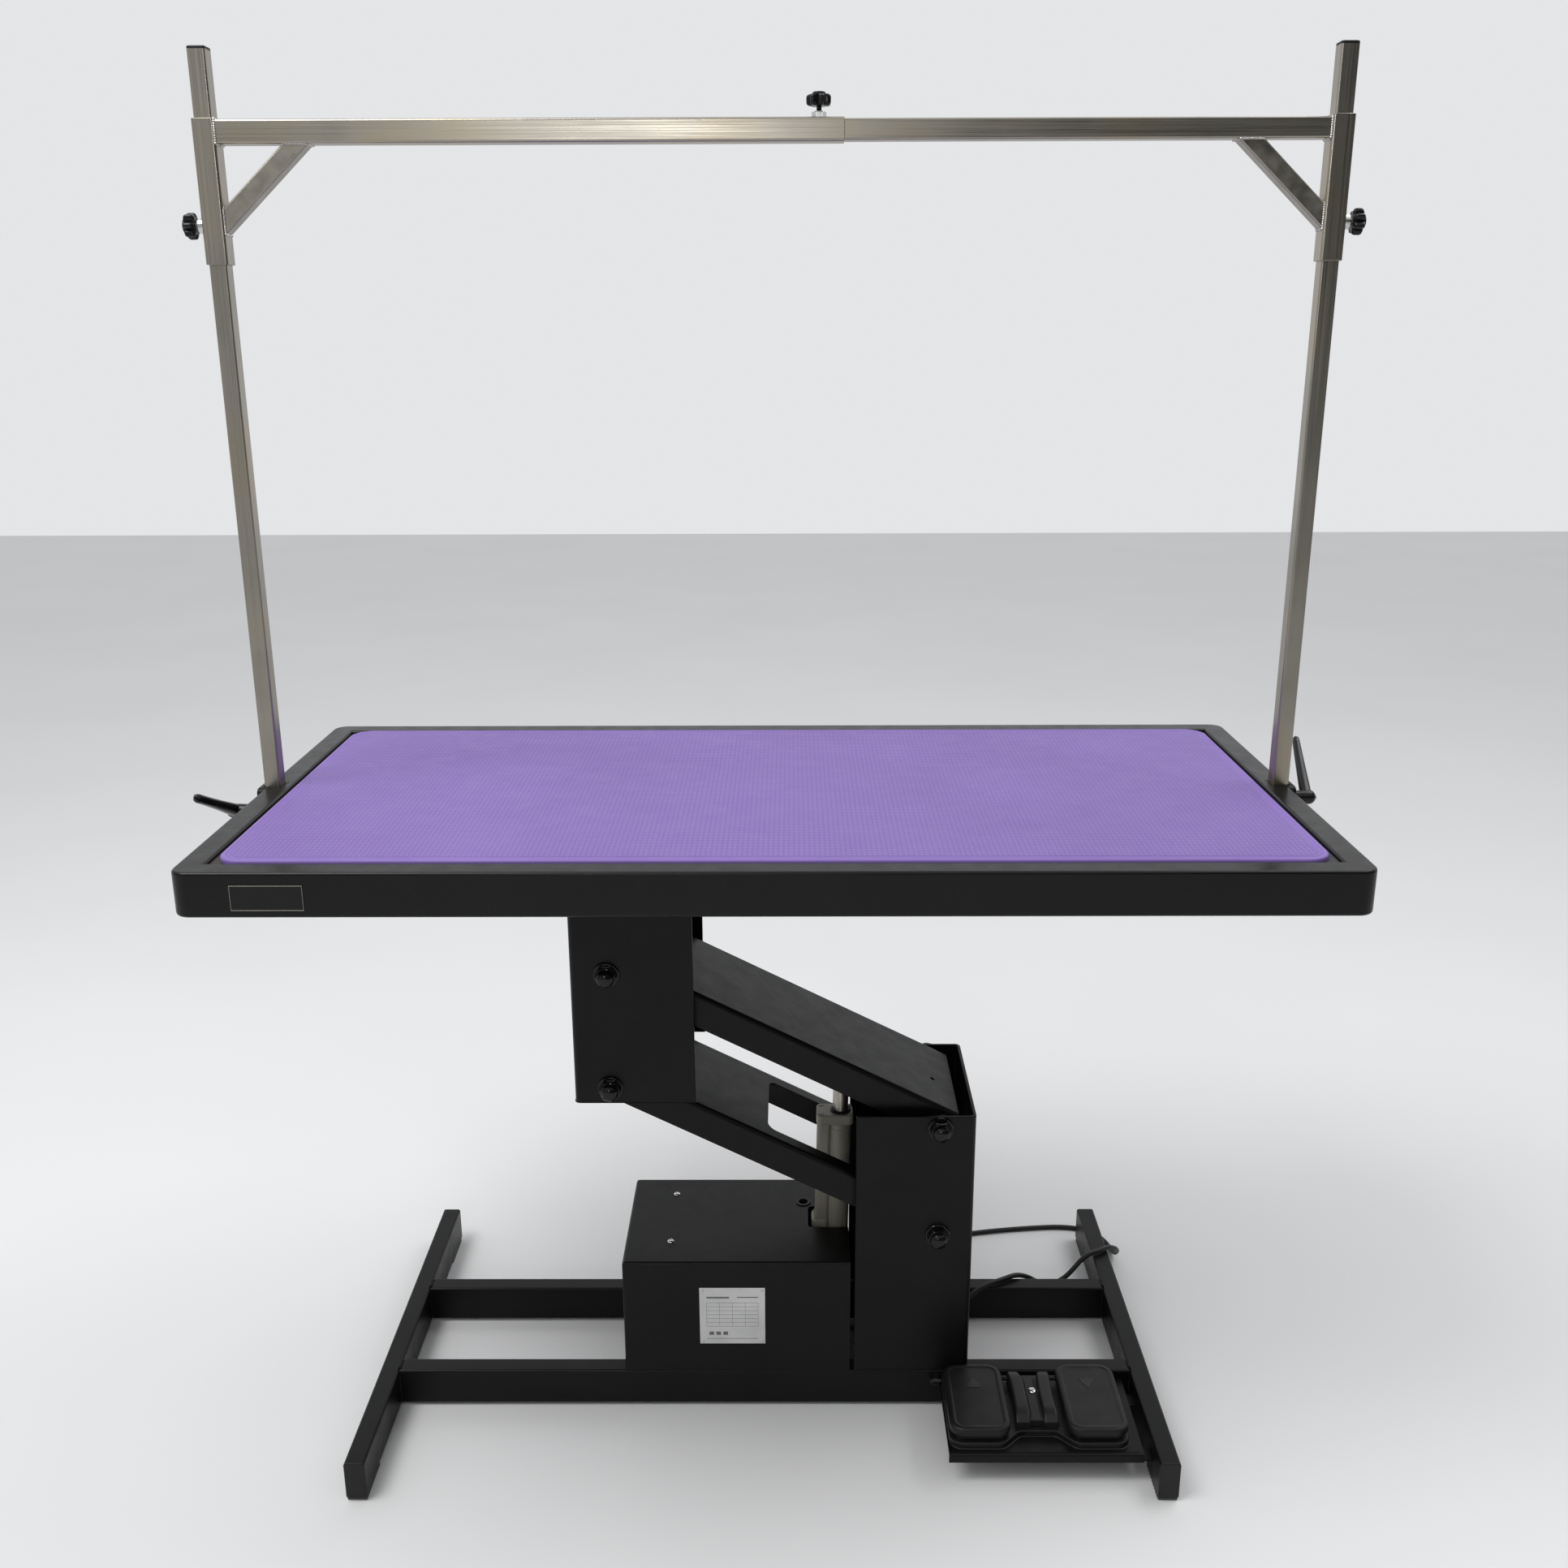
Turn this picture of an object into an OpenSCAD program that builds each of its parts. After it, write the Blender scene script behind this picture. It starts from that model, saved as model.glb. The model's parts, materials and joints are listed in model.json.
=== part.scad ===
// Electric grooming table: parallelogram lift on an H-shaped base, a matted
// table top, and an over-table frame with a telescopic crossbar.
// X runs along the table, +Y to the back, +Z up. The origin lies on the floor
// under the middle of the table top. Millimetres.

/* [Table top] */
// Length of the table top over its rim
top_l = 1250; // [1150:10:1350]
// Depth of the table top over its rim
top_d = 610; // [570:10:660]
// Height of the rim's upper face with the lift at rest
top_h = 815; // [800:1:840]
// Width of the rim tube
rim_w = 30; // [26:1:34]
// Height of the rim tube
rim_h = 50; // [46:1:56]
// Wall of the rim tube
rim_t = 1.5; // [1:0.5:3]
// Radius of the rim's outer corners
rim_r = 18; // [12:1:40]
// Thickness of the rubber mat
mat_t = 6; // [5:1:8]

/* [Base] */
// Length of the base along X
base_l = 1000; // [950:10:1100]
// Depth of the base, over the end caps of the skids
base_d = 546; // [500:2:600]
// Offset of the base from the middle of the table
base_x = -18; // [-30:1:0]
// Width of the base tubes
tube_w = 25; // [20:1:30]
// Height of the base tubes
tube_h = 50; // [40:1:60]
// Wall of the base tubes
tube_t = 2; // [1.5:0.5:3]
// Thickness of the glide pads under the skids
pad_h = 4; // [3:0.5:6]

/* [Lift] */
// Distance between the pivots of one arm
arm_l = 455; // [440:1:470]
// Angle of the arms above the horizontal at rest
arm_angle = 27; // [25:0.5:29]
// Height between the upper and the lower pivots
pivot_gap = 150; // [140:1:160]
// Width of the arms across the lift
arm_w = 168; // [160:1:172]
// Height of the arm channels
arm_h = 40; // [36:1:44]
// Sheet thickness of the arm channels
arm_t = 3; // [2:0.5:4]
// Width of the column and of the table bracket along X
column_l = 148; // [144:1:156]
// Depth of the column and of the table bracket
column_d = 200; // [196:1:206]
// Sheet thickness of the column and the bracket
column_t = 4; // [3:0.5:5]
// Radius of the pivot shafts
shaft_r = 8; // [7:0.5:9]

/* [Actuator] */
// Distance from the upper column pivot to the rod's pin
pin_reach = 133; // [125:1:140]
// Radius of the rod
rod_r = 10; // [8:0.5:11]
// Radius of the outer tube
barrel_r = 15; // [14:0.5:16]

/* [Control box] */
// Height of the cover
box_h = 161; // [150:1:165]
// Sheet thickness of the cover
box_t = 2; // [1:0.5:3]

/* [Over-table frame] */
// Side of the square posts
post_w = 20; // [18:1:22]
// Distance of each post from the middle of the table
post_x = 616; // [606:1:618]
// Height of the tops of the posts
post_top = 1642; // [1600:1:1700]
// Side of the sleeves and of the crossbar's outer tube
sleeve_w = 25; // [24:0.5:27]
// Length of the sleeves
sleeve_l = 150; // [120:5:180]
// Height of the crossbar's upper face
bar_top = 1569; // [1540:1:1580]

/* [Foot pedal] */
// Width of the pedal
pedal_l = 220; // [210:1:224]
// Depth of the pedal
pedal_d = 126; // [116:1:128]

/* [Hidden] */
$fn = 48;

// Running fit between a shaft and its bore, on the radius
fit = 0.05;
// Play between parts of different bodies that face each other
play = 0.4;

// Base: levels and faces
rail_z = [pad_h, pad_h + tube_h];
deck_z = rail_z[1];
base_x0 = base_x - base_l / 2;
base_x1 = base_x + base_l / 2;
cap_t = 2;
skid_y = base_d / 2 - cap_t;
lift_y = [-104, -104 + column_d];
mid_y = (lift_y[0] + lift_y[1]) / 2;
front_rail_y = [lift_y[0], lift_y[0] + tube_w];
rear_rail_y = [lift_y[1] - tube_w, lift_y[1]];

// Lift: pivots and plates
column_x1 = 246.5;
column_x0 = column_x1 - column_l;
column_top = deck_z + 368;
edge_to_pivot = 44;
pivot_x = column_x1 - edge_to_pivot;
upper_z = column_top - 16.5;
lower_z = upper_z - pivot_gap;
reach_x = arm_l * cos(arm_angle);
rise_z = arm_l * sin(arm_angle);
bracket_x = pivot_x - reach_x;
bracket_x0 = bracket_x - edge_to_pivot;
bracket_x1 = bracket_x0 + column_l;
bracket_bottom = lower_z + rise_z - 20;
arm_y = [mid_y - arm_w / 2, mid_y + arm_w / 2];
bush_r = 14;
arm_end = 17;
slot_s = [90, 250];
slot_w = 122;
slot_r = 12;
washer = [16, 3];
nut_af = 24;
nut_h = 12;

// Table top: levels
rim_z = [top_h - rim_h, top_h];
beam = 30;
beam_t = 2;
board_t = 16;
board_z = rim_z[0] + beam;
mat_z = board_z + board_t;
plate_t = 6;
beam_y = [mid_y - 82, mid_y + 82];
rib_x = 300;

// Actuator
act_y = 2;
foot = [76, 85];
pin = [pivot_x - pin_reach * cos(arm_angle), upper_z + pin_reach * sin(arm_angle)];
act_len = norm(pin - foot);
act_lean = atan2(pin[0] - foot[0], pin[1] - foot[1]);
pin_r = 5;
collar_s = 92;
barrel_bottom = act_len - 22;

// Control box
box_x = [-198, 93];
box_z = [deck_z, deck_z + box_h];
notch_x = 40;
notch_y = [-24, 26];
grommet = [34, 36];

// Posts and the frame on them
post_y = 12;
wall = (sleeve_w - post_w - 0.6) / 2;
socket_w = 26;
socket_bottom = 700;
post_bottom = socket_bottom + 5;
clamp_z = [782, 797];
clamp_block = [36, 46];
bar_z = bar_top - sleeve_w / 2;
sleeve_top = bar_top + 1;
step_x = 78;
inner_w = 22;
inner_lap = 180;
knob_z = 1461;
stud_r = 4;
brace_w = 20;
brace_run = 85;
brace_drop = 79;
top_knob_x = 50.5;

// Foot pedal
tray_x = [209, 446];
tray_y = [-243, lift_y[0]];
tray_top = 42;
tray_t = 2.5;
ped_x0 = 211;
ped_y0 = -233;
ped_y1 = ped_y0 + pedal_d;
ped_pad_w = 75;
ped_base_z = [tray_top, 50];
ped_pad_z = [56, 68];
ped_pin_z = 57;

// Mains cord: route on the floor behind the base, then a coil and a plug.
// One point every few centimetres; the cord is 7 mm thick.
cord_r = 3.5;
cord_sides = 8;
cord_route = [[132, 45, 80], [150, 45, 80], [168, 45, 76], [188, 45, 64], [208, 45, 51], [228, 46, 42],
              [247, 50, 41], [264, 57, 47], [280, 66, 55], [297, 75, 58.5], [317, 86, 58.5],
              [337, 97, 57.6], [354, 106, 49.5], [369, 112, 38], [384, 118, 29], [400, 124, 27],
              [415, 130, 32], [428, 136, 42], [440, 142, 52.5], [454, 149, 58.5], [469, 156, 59],
              [484, 166, 57], [495, 176, 49], [502, 189, 37], [505, 205, 23], [506, 223, 11],
              [505, 243, 4.6], [500, 263, 3.6], [490, 281, 3.6], [474, 293, 3.6], [455, 299, 3.6],
              [430, 301, 3.6], [400, 299, 3.6], [370, 296, 3.6], [340, 292, 3.6], [310, 287, 3.6],
              [282, 280, 3.6], [256, 272, 3.6], [230, 264, 3.6], [210, 259, 3.6]];
coil_at = [204, 220];
coil_mid = 38.5;
coil_w = 21;
coil_h = 14;

// ---- Shared shapes -------------------------------------------------------

// A box from its ranges along X, Y and Z
module block(x, y, z) {
  translate([x[0], y[0], z[0]])
    cube([x[1] - x[0], y[1] - y[0], z[1] - z[0]]);
}

module along_x(p, r, l) {
  translate(p) rotate([0, 90, 0]) cylinder(r = r, h = l);
}

module along_y(p, r, l) {
  translate(p) rotate([-90, 0, 0]) cylinder(r = r, h = l);
}

// A rectangle with round corners, centred
module round_rect(l, w, r) {
  square([l - 2 * r, w], center = true);
  square([l, w - 2 * r], center = true);
  for (x = [-1, 1], y = [-1, 1])
    translate([x * (l / 2 - r), y * (w / 2 - r)]) circle(r = r);
}

// A flat-topped tile with round corners, from its ranges
module tile(x, y, z, r) {
  translate([(x[0] + x[1]) / 2, (y[0] + y[1]) / 2, z[0]])
    linear_extrude(z[1] - z[0])
      round_rect(x[1] - x[0], y[1] - y[0], r);
}

// Rectangular tube, open at both ends; axis is 0 for X, 1 for Y and 2 for Z
module tube(x, y, z, t, axis) {
  grow = [axis == 0 ? -1 : t, axis == 1 ? -1 : t, axis == 2 ? -1 : t];
  difference() {
    block(x, y, z);
    block([x[0] + grow[0], x[1] - grow[0]], [y[0] + grow[1], y[1] - grow[1]], [z[0] + grow[2], z[1] - grow[2]]);
  }
}

// Moves its children into an arm's own frame: X runs from the column pivot
// towards the table, Z is square to the arm
module in_arm(pivot_z) {
  translate([pivot_x, 0, pivot_z])
    rotate([0, arm_angle, 0])
      mirror([1, 0, 0])
        children();
}

// Moves its children to the rod's pin, with Z down the actuator
module in_actuator() {
  translate([pin[0], act_y, pin[1]])
    rotate([0, act_lean, 0])
      mirror([0, 0, 1])
        children();
}

// Mirrors its children to the right-hand end of the table
module right_side() {
  mirror([1, 0, 0]) children();
}

// ---- Base ----------------------------------------------------------------

module skid(x0) {
  color("#1a1a1b")
    tube([x0, x0 + tube_w], [-skid_y, skid_y], rail_z, tube_t, 1);
}

module left_skid() { skid(base_x0); }
module right_skid() { skid(base_x1 - tube_w); }

module rail(y) {
  color("#1a1a1b")
    tube([base_x0 + tube_w, base_x1 - tube_w], y, rail_z, tube_t, 0);
}

module front_rail() {
  difference() {
    rail(front_rail_y);
    along_y([205, lift_y[0] - 1, 38], 4, tube_w + 2);
  }
}

module rear_rail() { rail(rear_rail_y); }

module skid_end_caps() {
  plug = 12;
  color("#111112")
    for (x0 = [base_x0, base_x1 - tube_w], side = [-1, 1]) {
      face = [side * skid_y, side * (skid_y + cap_t)];
      inner = [side * (skid_y - plug), side * skid_y];
      block([x0, x0 + tube_w], [min(face), max(face)], rail_z);
      block([x0 + tube_t, x0 + tube_w - tube_t], [min(inner), max(inner)], [rail_z[0] + tube_t, rail_z[1] - tube_t]);
    }
}

module glide_pads() {
  pad_l = 60;
  color("#4a4a48")
    for (x0 = [base_x0, base_x1 - tube_w], side = [-1, 1]) {
      y = [side * (skid_y - pad_l), side * skid_y];
      block([x0, x0 + tube_w], [min(y), max(y)], [0, pad_h]);
    }
}

module deck_plate() {
  color("#1a1a1b")
    difference() {
      block([box_x[0], box_x[1]], [front_rail_y[1], rear_rail_y[0]], [deck_z - 4, deck_z]);
      block([foot[0] - 24, foot[0] + 40], [act_y - 20, act_y + 20], [deck_z - 5, deck_z + 1]);
    }
}

module lift_column() {
  color("#202021")
    difference() {
      block([column_x0, column_x1], lift_y, [deck_z, column_top]);
      block([column_x0 - 1, column_x1 - column_t], [lift_y[0] + column_t, lift_y[1] - column_t], [deck_z - 1, column_top + 1]);
      for (z = [upper_z, lower_z])
        along_y([pivot_x, lift_y[0] - 1, z], shaft_r, column_d + 2);
    }
}

module actuator_foot_bracket() {
  color("#2a2a2c")
    difference() {
      union() {
        block([foot[0] - 24, box_x[1]], [act_y - 20, act_y - 16], [deck_z - 4, foot[1] + 20]);
        block([foot[0] - 24, box_x[1]], [act_y + 16, act_y + 20], [deck_z - 4, foot[1] + 20]);
      }
      along_y([foot[0] + 5.1, act_y - 21, foot[1] - 4.3], pin_r + 7.4, 42);
    }
}

// Threaded shafts through two plates at the given pivots
module shafts(x, heights) {
  over = washer[1] + nut_h - 2;
  color("#8a8a88")
    for (z = heights)
      along_y([x, lift_y[0] - over, z], shaft_r, column_d + 2 * over);
}

// A washer, a hexagon and a dome at each end of each shaft
module acorn_nuts(x, heights) {
  color("#1b1b1c")
    for (z = heights, side = [-1, 1])
      translate([x, side < 0 ? lift_y[0] : lift_y[1], z])
        rotate([side * 90 * -1, 0, 0])
          difference() {
            union() {
              cylinder(r = washer[0], h = washer[1]);
              translate([0, 0, washer[1]]) cylinder(r = nut_af / sqrt(3), h = nut_h - 4, $fn = 6);
              translate([0, 0, washer[1] + nut_h - 4]) cylinder(r = nut_af / 2 - 1, h = 4);
              translate([0, 0, washer[1] + nut_h]) scale([1, 1, 0.45]) sphere(r = nut_af / 2 - 1);
            }
            translate([0, 0, -1]) cylinder(r = shaft_r, h = washer[1] + nut_h - 1);
          }
}

module column_shafts() { shafts(pivot_x, [lower_z, upper_z]); }
module column_nuts() { acorn_nuts(pivot_x, [lower_z, upper_z]); }

// ---- Control box ---------------------------------------------------------

module control_box_cover() {
  color("#232324")
    difference() {
      block(box_x, lift_y, box_z);
      block([box_x[0] + box_t, box_x[1] + 1], [lift_y[0] + box_t, lift_y[1] - box_t], [box_z[0] - 1, box_z[1] - box_t]);
      block([notch_x, box_x[1] + 1], notch_y, [box_z[1] - box_t - 1, box_z[1] + 1]);
      translate([grommet[0], grommet[1], box_z[1] - box_t - 1]) cylinder(r = 9, h = box_t + 2);
      for (y = [-56, 56])
        translate([-139, y, box_z[1] - box_t - 1]) cylinder(r = 2.5, h = box_t + 2);
    }
}

module control_unit() {
  color("#3a3a3c") {
    tile([-175, 25], [-70, 58], [deck_z, deck_z + 62], 6);
    for (x = [-175 - 14, 25], y = [-40, 28])
      block([x, x + 14], [y - 8, y + 8], [deck_z, deck_z + 4]);
  }
}

module cover_screws() {
  color("#c9c9c6")
    for (y = [-56, 56])
      translate([-139, y, box_z[1]]) {
        translate([0, 0, -10]) cylinder(r = 2.5, h = 10);
        scale([1, 1, 0.5]) intersection() {
          sphere(r = 5.2);
          translate([-6, -6, 0]) cube(12);
        }
      }
}

module cable_grommet() {
  color("#0e0e0e")
    translate([grommet[0], grommet[1], box_z[1] - box_t - 1.5])
      rotate_extrude()
        polygon([[6, 0], [10.5, 0], [10.5, 1.5], [9, 1.5], [9, box_t + 1.5], [10.5, box_t + 1.5],
                 [10.5, box_t + 3], [6, box_t + 3]]);
}

module rating_plate() {
  color("#d0d0ce")
    block([-100, -16], [lift_y[0] - 0.8, lift_y[0]], [96, 179]);
}

module plate_rivets() {
  color("#b5b5b2")
    for (x = [-96, -20], z = [100, 175])
      along_y([x, lift_y[0] - 1.8, z], 1.8, 1);
}

// ---- Foot pedal ----------------------------------------------------------

module pedal_tray() {
  color("#1c1c1d") {
    block(tray_x, tray_y, [tray_top - tray_t, tray_top]);
    block(tray_x, [tray_y[0], tray_y[0] + tray_t], [tray_top - 12, tray_top - tray_t]);
    for (y = [tray_y[0] + tray_t, lift_y[0] - 40])
      block([tray_x[1], base_x1 - tube_w], [y, y + 22], [tray_top - 12, tray_top - 12 + tray_t]);
    block([tray_x[1] - tray_t, tray_x[1]], [tray_y[0] + tray_t, lift_y[0]], [tray_top - 12, tray_top - tray_t]);
  }
}

module pedal_base() {
  mid = ped_x0 + pedal_l / 2;
  color("#19191a")
    difference() {
      union() {
        for (x0 = [ped_x0, ped_x0 + pedal_l - ped_pad_w])
          tile([x0, x0 + ped_pad_w], [ped_y0, ped_y1], ped_base_z, 16);
        block([ped_x0 + ped_pad_w - 17, ped_x0 + pedal_l - ped_pad_w + 17], [ped_y0 + 22, ped_y1 - 2], ped_base_z);
      }
      for (x = [mid - 72, mid + 72])
        tile([x - 28, x + 28], [ped_y0 + 16, ped_y1 - 30], [ped_base_z[1] - 6, ped_base_z[1] + 1], 8);
      translate([mid + 2, -150, ped_base_z[1] - 10]) cylinder(r = 3, h = 11);
    }
}

module pedal_saddle() {
  mid = ped_x0 + pedal_l / 2;
  cheek = [8, 27];
  color("#2a2a2b")
    difference() {
      union() {
        for (side = [-1, 1]) {
          x = [mid + side * cheek[0], mid + side * cheek[1]];
          block([min(x), max(x)], [ped_y0 + 14, ped_y1 - 12], [ped_base_z[1], 67]);
        }
        block([mid - cheek[0], mid + cheek[0]], [ped_y0 + 14, ped_y1 - 12], [ped_base_z[1], 60]);
      }
      translate([mid + 2, -150, ped_base_z[1] - 1]) cylinder(r = 3, h = 12);
      for (side = [-1, 1])
        along_x([mid + side * 24 - 5, ped_y1 - 20, ped_pin_z + 3], 2.5, 10);
    }
}

module pedal_screw() {
  mid = ped_x0 + pedal_l / 2;
  color("#c9c9c6")
    translate([mid + 2, -150, 60]) {
      translate([0, 0, -14]) cylinder(r = 3, h = 14);
      cylinder(r = 5.5, h = 2.5);
    }
}

module pedal_pins() {
  mid = ped_x0 + pedal_l / 2;
  color("#9a9a98")
    for (side = [-1, 1]) {
      x = [mid + side * 19, mid + side * (pedal_l / 2 - 14)];
      along_x([min(x), ped_y1 - 20, ped_pin_z + 3], 2.5, max(x) - min(x));
    }
}

module pedal_switches() {
  mid = ped_x0 + pedal_l / 2;
  color("#303032")
    for (side = [-1, 1])
      translate([mid + side * 72, ped_y0 + 45, ped_base_z[1] - 6]) {
        block([-10, 10], [-4, 4], [0, 11]);
        translate([4, 0, 11]) cylinder(r = 1.6, h = 3);
      }
}

// A rocker pad that turns about the pin near its back edge
module pedal_pad(x0) {
  color("#121213")
    difference() {
      tile([x0, x0 + ped_pad_w], [ped_y0 + 2, ped_y1], ped_pad_z, 14);
      tile([x0 + 3, x0 + ped_pad_w - 3], [ped_y0 + 5, ped_y1 - 28], [ped_pad_z[0] - 1, ped_pad_z[1] - 4], 11);
      along_x([x0 - 1, ped_y1 - 20, ped_pin_z + 3], 2.5 + fit, ped_pad_w + 2);
    }
}

module pedal_up_pad() { pedal_pad(ped_x0 + 0.5); }
module pedal_down_pad() { pedal_pad(ped_x0 + pedal_l - ped_pad_w - 0.5); }

// Points of a ring round a point of a route, square to its direction
function unit(v) = v / norm(v);
function heading(r, i) = unit(r[min(i + 1, len(r) - 1)] - r[max(i - 1, 0)]);
function side_of(d) = unit(cross(d, abs(d[2]) > 0.9 ? [1, 0, 0] : [0, 0, 1]));
function ring(r, i, rad, n) =
  let (d = heading(r, i), s = side_of(d), u = cross(s, d))
  [for (k = [0:n - 1]) r[i] + rad * (cos(360 * k / n) * s + sin(360 * k / n) * u)];

// A tube swept along a route
module swept(route, rad, n) {
  m = len(route);
  points = [for (i = [0:m - 1]) each ring(route, i, rad, n)];
  sides = [for (i = [0:m - 2], k = [0:n - 1])
           [i * n + k, i * n + (k + 1) % n, (i + 1) * n + (k + 1) % n, (i + 1) * n + k]];
  first = [for (k = [0:n - 1]) n - 1 - k];
  last = [for (k = [0:n - 1]) (m - 1) * n + k];
  polyhedron(points = points, faces = concat([first, last], sides), convexity = 8);
}

// The pedal's lead goes through the front rail to the control unit
module pedal_lead() {
  color("#161616")
    swept([[211, -116, 48], [204, -115, 48], [199, -112, 45], [200, -109, 41], [205, -104, 38],
           [205, -92, 38], [204, -79, 38], [198, -62, 44], [178, -48, 54], [140, -40, 62],
           [100, -36, 68], [60, -32, 72], [25, -30, 74]], 2.5, 8);
}

// ---- Arms ----------------------------------------------------------------

// An inverted channel with flanges down both sides and a bush at each pivot
module channel(s, slotted) {
  difference() {
    block([-arm_end, arm_l + arm_end], arm_y, [-arm_h / 2, arm_h / 2]);
    block([-arm_end - 1, arm_l + arm_end + 1], [arm_y[0] + arm_t, arm_y[1] - arm_t], [-arm_h / 2 - 1, arm_h / 2 - arm_t]);
    for (x = [0, arm_l])
      along_y([x, arm_y[0] - 1, 0], bush_r, arm_w + 2);
    if (slotted)
      tile(s, [mid_y - slot_w / 2, mid_y + slot_w / 2], [arm_h / 2 - arm_t - 1, arm_h / 2 + 1], slot_r);
    else
      translate([s[0], mid_y - 15, arm_h / 2 - arm_t - 1]) cylinder(r = 3, h = arm_t + 2);
  }
}

module arm_bushes() {
  y = [lift_y[0] + column_t + play, lift_y[1] - column_t - play];
  for (x = [0, arm_l])
    difference() {
      along_y([x, y[0], 0], bush_r, y[1] - y[0]);
      along_y([x, y[0] - 1, 0], shaft_r + fit, y[1] - y[0] + 2);
    }
}

module upper_arm() { color("#1f1f20") in_arm(upper_z) channel([14, 0], false); }
module upper_arm_bushes() { color("#262627") in_arm(upper_z) arm_bushes(); }
module lower_arm() { color("#1f1f20") in_arm(lower_z) channel(slot_s, true); }
module lower_arm_bushes() { color("#262627") in_arm(lower_z) arm_bushes(); }

// Two lugs under the upper arm's top plate, with the rod's pin between them
module actuator_lugs() {
  color("#262627")
    in_arm(upper_z) {
      difference() {
        for (y = [[act_y - 20, act_y - 14], [act_y + 14, act_y + 20]])
          block([pin_reach - 16, pin_reach + 16], y, [-12, arm_h / 2 - arm_t]);
        along_y([pin_reach, act_y - 21, 0], pin_r, 42);
      }
      along_y([pin_reach, act_y - 22, 0], pin_r, 44);
    }
}

// ---- Actuator ------------------------------------------------------------

module actuator_rod() {
  color("#8b8578")
    in_actuator()
      difference() {
        union() {
          translate([0, 0, 8]) cylinder(r = rod_r, h = 230);
          along_y([0, -12, 0], 13, 24);
        }
        along_y([0, -13, 0], pin_r + fit, 26);
      }
}

module actuator_barrel() {
  color("#7a766a")
    in_actuator()
      difference() {
        union() {
          translate([0, 0, collar_s + 14]) cylinder(r = barrel_r, h = barrel_bottom - collar_s - 14);
          translate([0, 0, barrel_bottom]) block([-11, 11], [-12, 12], [0, act_len - barrel_bottom + 11]);
        }
        translate([0, 0, collar_s]) cylinder(r = rod_r + play, h = 270);
      }
  color("#8a8a88")
    in_actuator()
      along_y([0, -22, act_len], pin_r, 44);
}

module actuator_motor() {
  color("#7a766a")
    in_actuator()
      difference() {
        union() {
          block([-30, 0], [-11, 11], [collar_s + 14, barrel_bottom - 50]);
          block([-34, 0], [-13.5, 13.5], [barrel_bottom - 110, barrel_bottom]);
        }
        translate([0, 0, collar_s]) cylinder(r = barrel_r, h = act_len);
      }
}

module actuator_collar() {
  color("#5d5a52")
    in_actuator()
      difference() {
        tile([-31, 17], [-17, 17], [collar_s, collar_s + 14], 6);
        translate([0, 0, collar_s - 1]) cylinder(r = rod_r + play, h = 16);
      }
}

// ---- Table top -----------------------------------------------------------

module table_bracket() {
  x = [bracket_x0, bracket_x1];
  z = [bracket_bottom, rim_z[0] - plate_t];
  color("#151516")
    difference() {
      union() {
        block(x, lift_y, z);
        tile([x[0] - 25, x[1] + 25], [beam_y[0] - 30, beam_y[1] + 30], [z[1], z[1] + plate_t], 8);
      }
      block([x[0] + column_t, x[1] + 1], [lift_y[0] + column_t, lift_y[1] - column_t], [z[0] - 1, z[1]]);
      for (h = [lower_z, upper_z])
        along_y([bracket_x, lift_y[0] - 1, h + rise_z], shaft_r, column_d + 2);
      for (p = bolt_places())
        translate([p[0], p[1], z[1] - 1]) cylinder(r = 4, h = plate_t + 2);
    }
}

// The four bolts that hold the bracket to the beams, left and right of it
function bolt_places() =
  [for (x = [bracket_x0 - 12, bracket_x1 + 12], y = beam_y) [x, y]];

module bracket_shafts() { shafts(bracket_x, [lower_z + rise_z, upper_z + rise_z]); }
module bracket_nuts() { acorn_nuts(bracket_x, [lower_z + rise_z, upper_z + rise_z]); }

// Two beams along the table, and cross pieces between them and the rim
module subframe_tubes() {
  x = [rim_w - top_l / 2, top_l / 2 - rim_w];
  y_in = top_d / 2 - rim_w;
  spans = [[-y_in, beam_y[0] - beam / 2], [beam_y[0] + beam / 2, beam_y[1] - beam / 2], [beam_y[1] + beam / 2, y_in]];
  color("#1a1a1b") {
    difference() {
      for (y = beam_y)
        tube(x, [y - beam / 2, y + beam / 2], [rim_z[0], board_z], beam_t, 0);
      for (p = bolt_places())
        translate([p[0], p[1], rim_z[0] - 1]) cylinder(r = 4, h = beam_t + 2);
    }
    for (x = [-rib_x, rib_x], y = spans)
      tube([x - beam / 2, x + beam / 2], y, [rim_z[0], board_z], beam_t, 1);
  }
}

module subframe_bolts() {
  z = rim_z[0] - plate_t;
  color("#8a8a88")
    for (p = bolt_places())
      translate([p[0], p[1], 0]) {
        translate([0, 0, z]) cylinder(r = 4, h = plate_t + beam_t + 6);
        translate([0, 0, z - 5]) cylinder(r = 7.5, h = 5, $fn = 6);
        translate([0, 0, rim_z[0] + beam_t]) cylinder(r = 7.5, h = 6, $fn = 6);
      }
}

// The cut through the rim for the left post socket
module socket_cut() {
  block([-top_l / 2 - 1, socket_w / 2 - post_x], [post_y - socket_w / 2, post_y + socket_w / 2],
        [rim_z[0] - 1, rim_z[1] + 1]);
}

module tabletop_rim() {
  color("#131314")
    translate([0, 0, rim_z[0]])
      difference() {
        linear_extrude(rim_h) difference() {
          round_rect(top_l, top_d, rim_r);
          square([top_l - 2 * rim_w, top_d - 2 * rim_w], center = true);
        }
        translate([0, 0, rim_t]) linear_extrude(rim_h - 2 * rim_t) difference() {
          round_rect(top_l - 2 * rim_t, top_d - 2 * rim_t, rim_r - rim_t);
          square([top_l - 2 * (rim_w - rim_t), top_d - 2 * (rim_w - rim_t)], center = true);
        }
        for (side = [0, 1])
          mirror([side, 0, 0]) translate([0, 0, -rim_z[0]]) socket_cut();
      }
}

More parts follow.
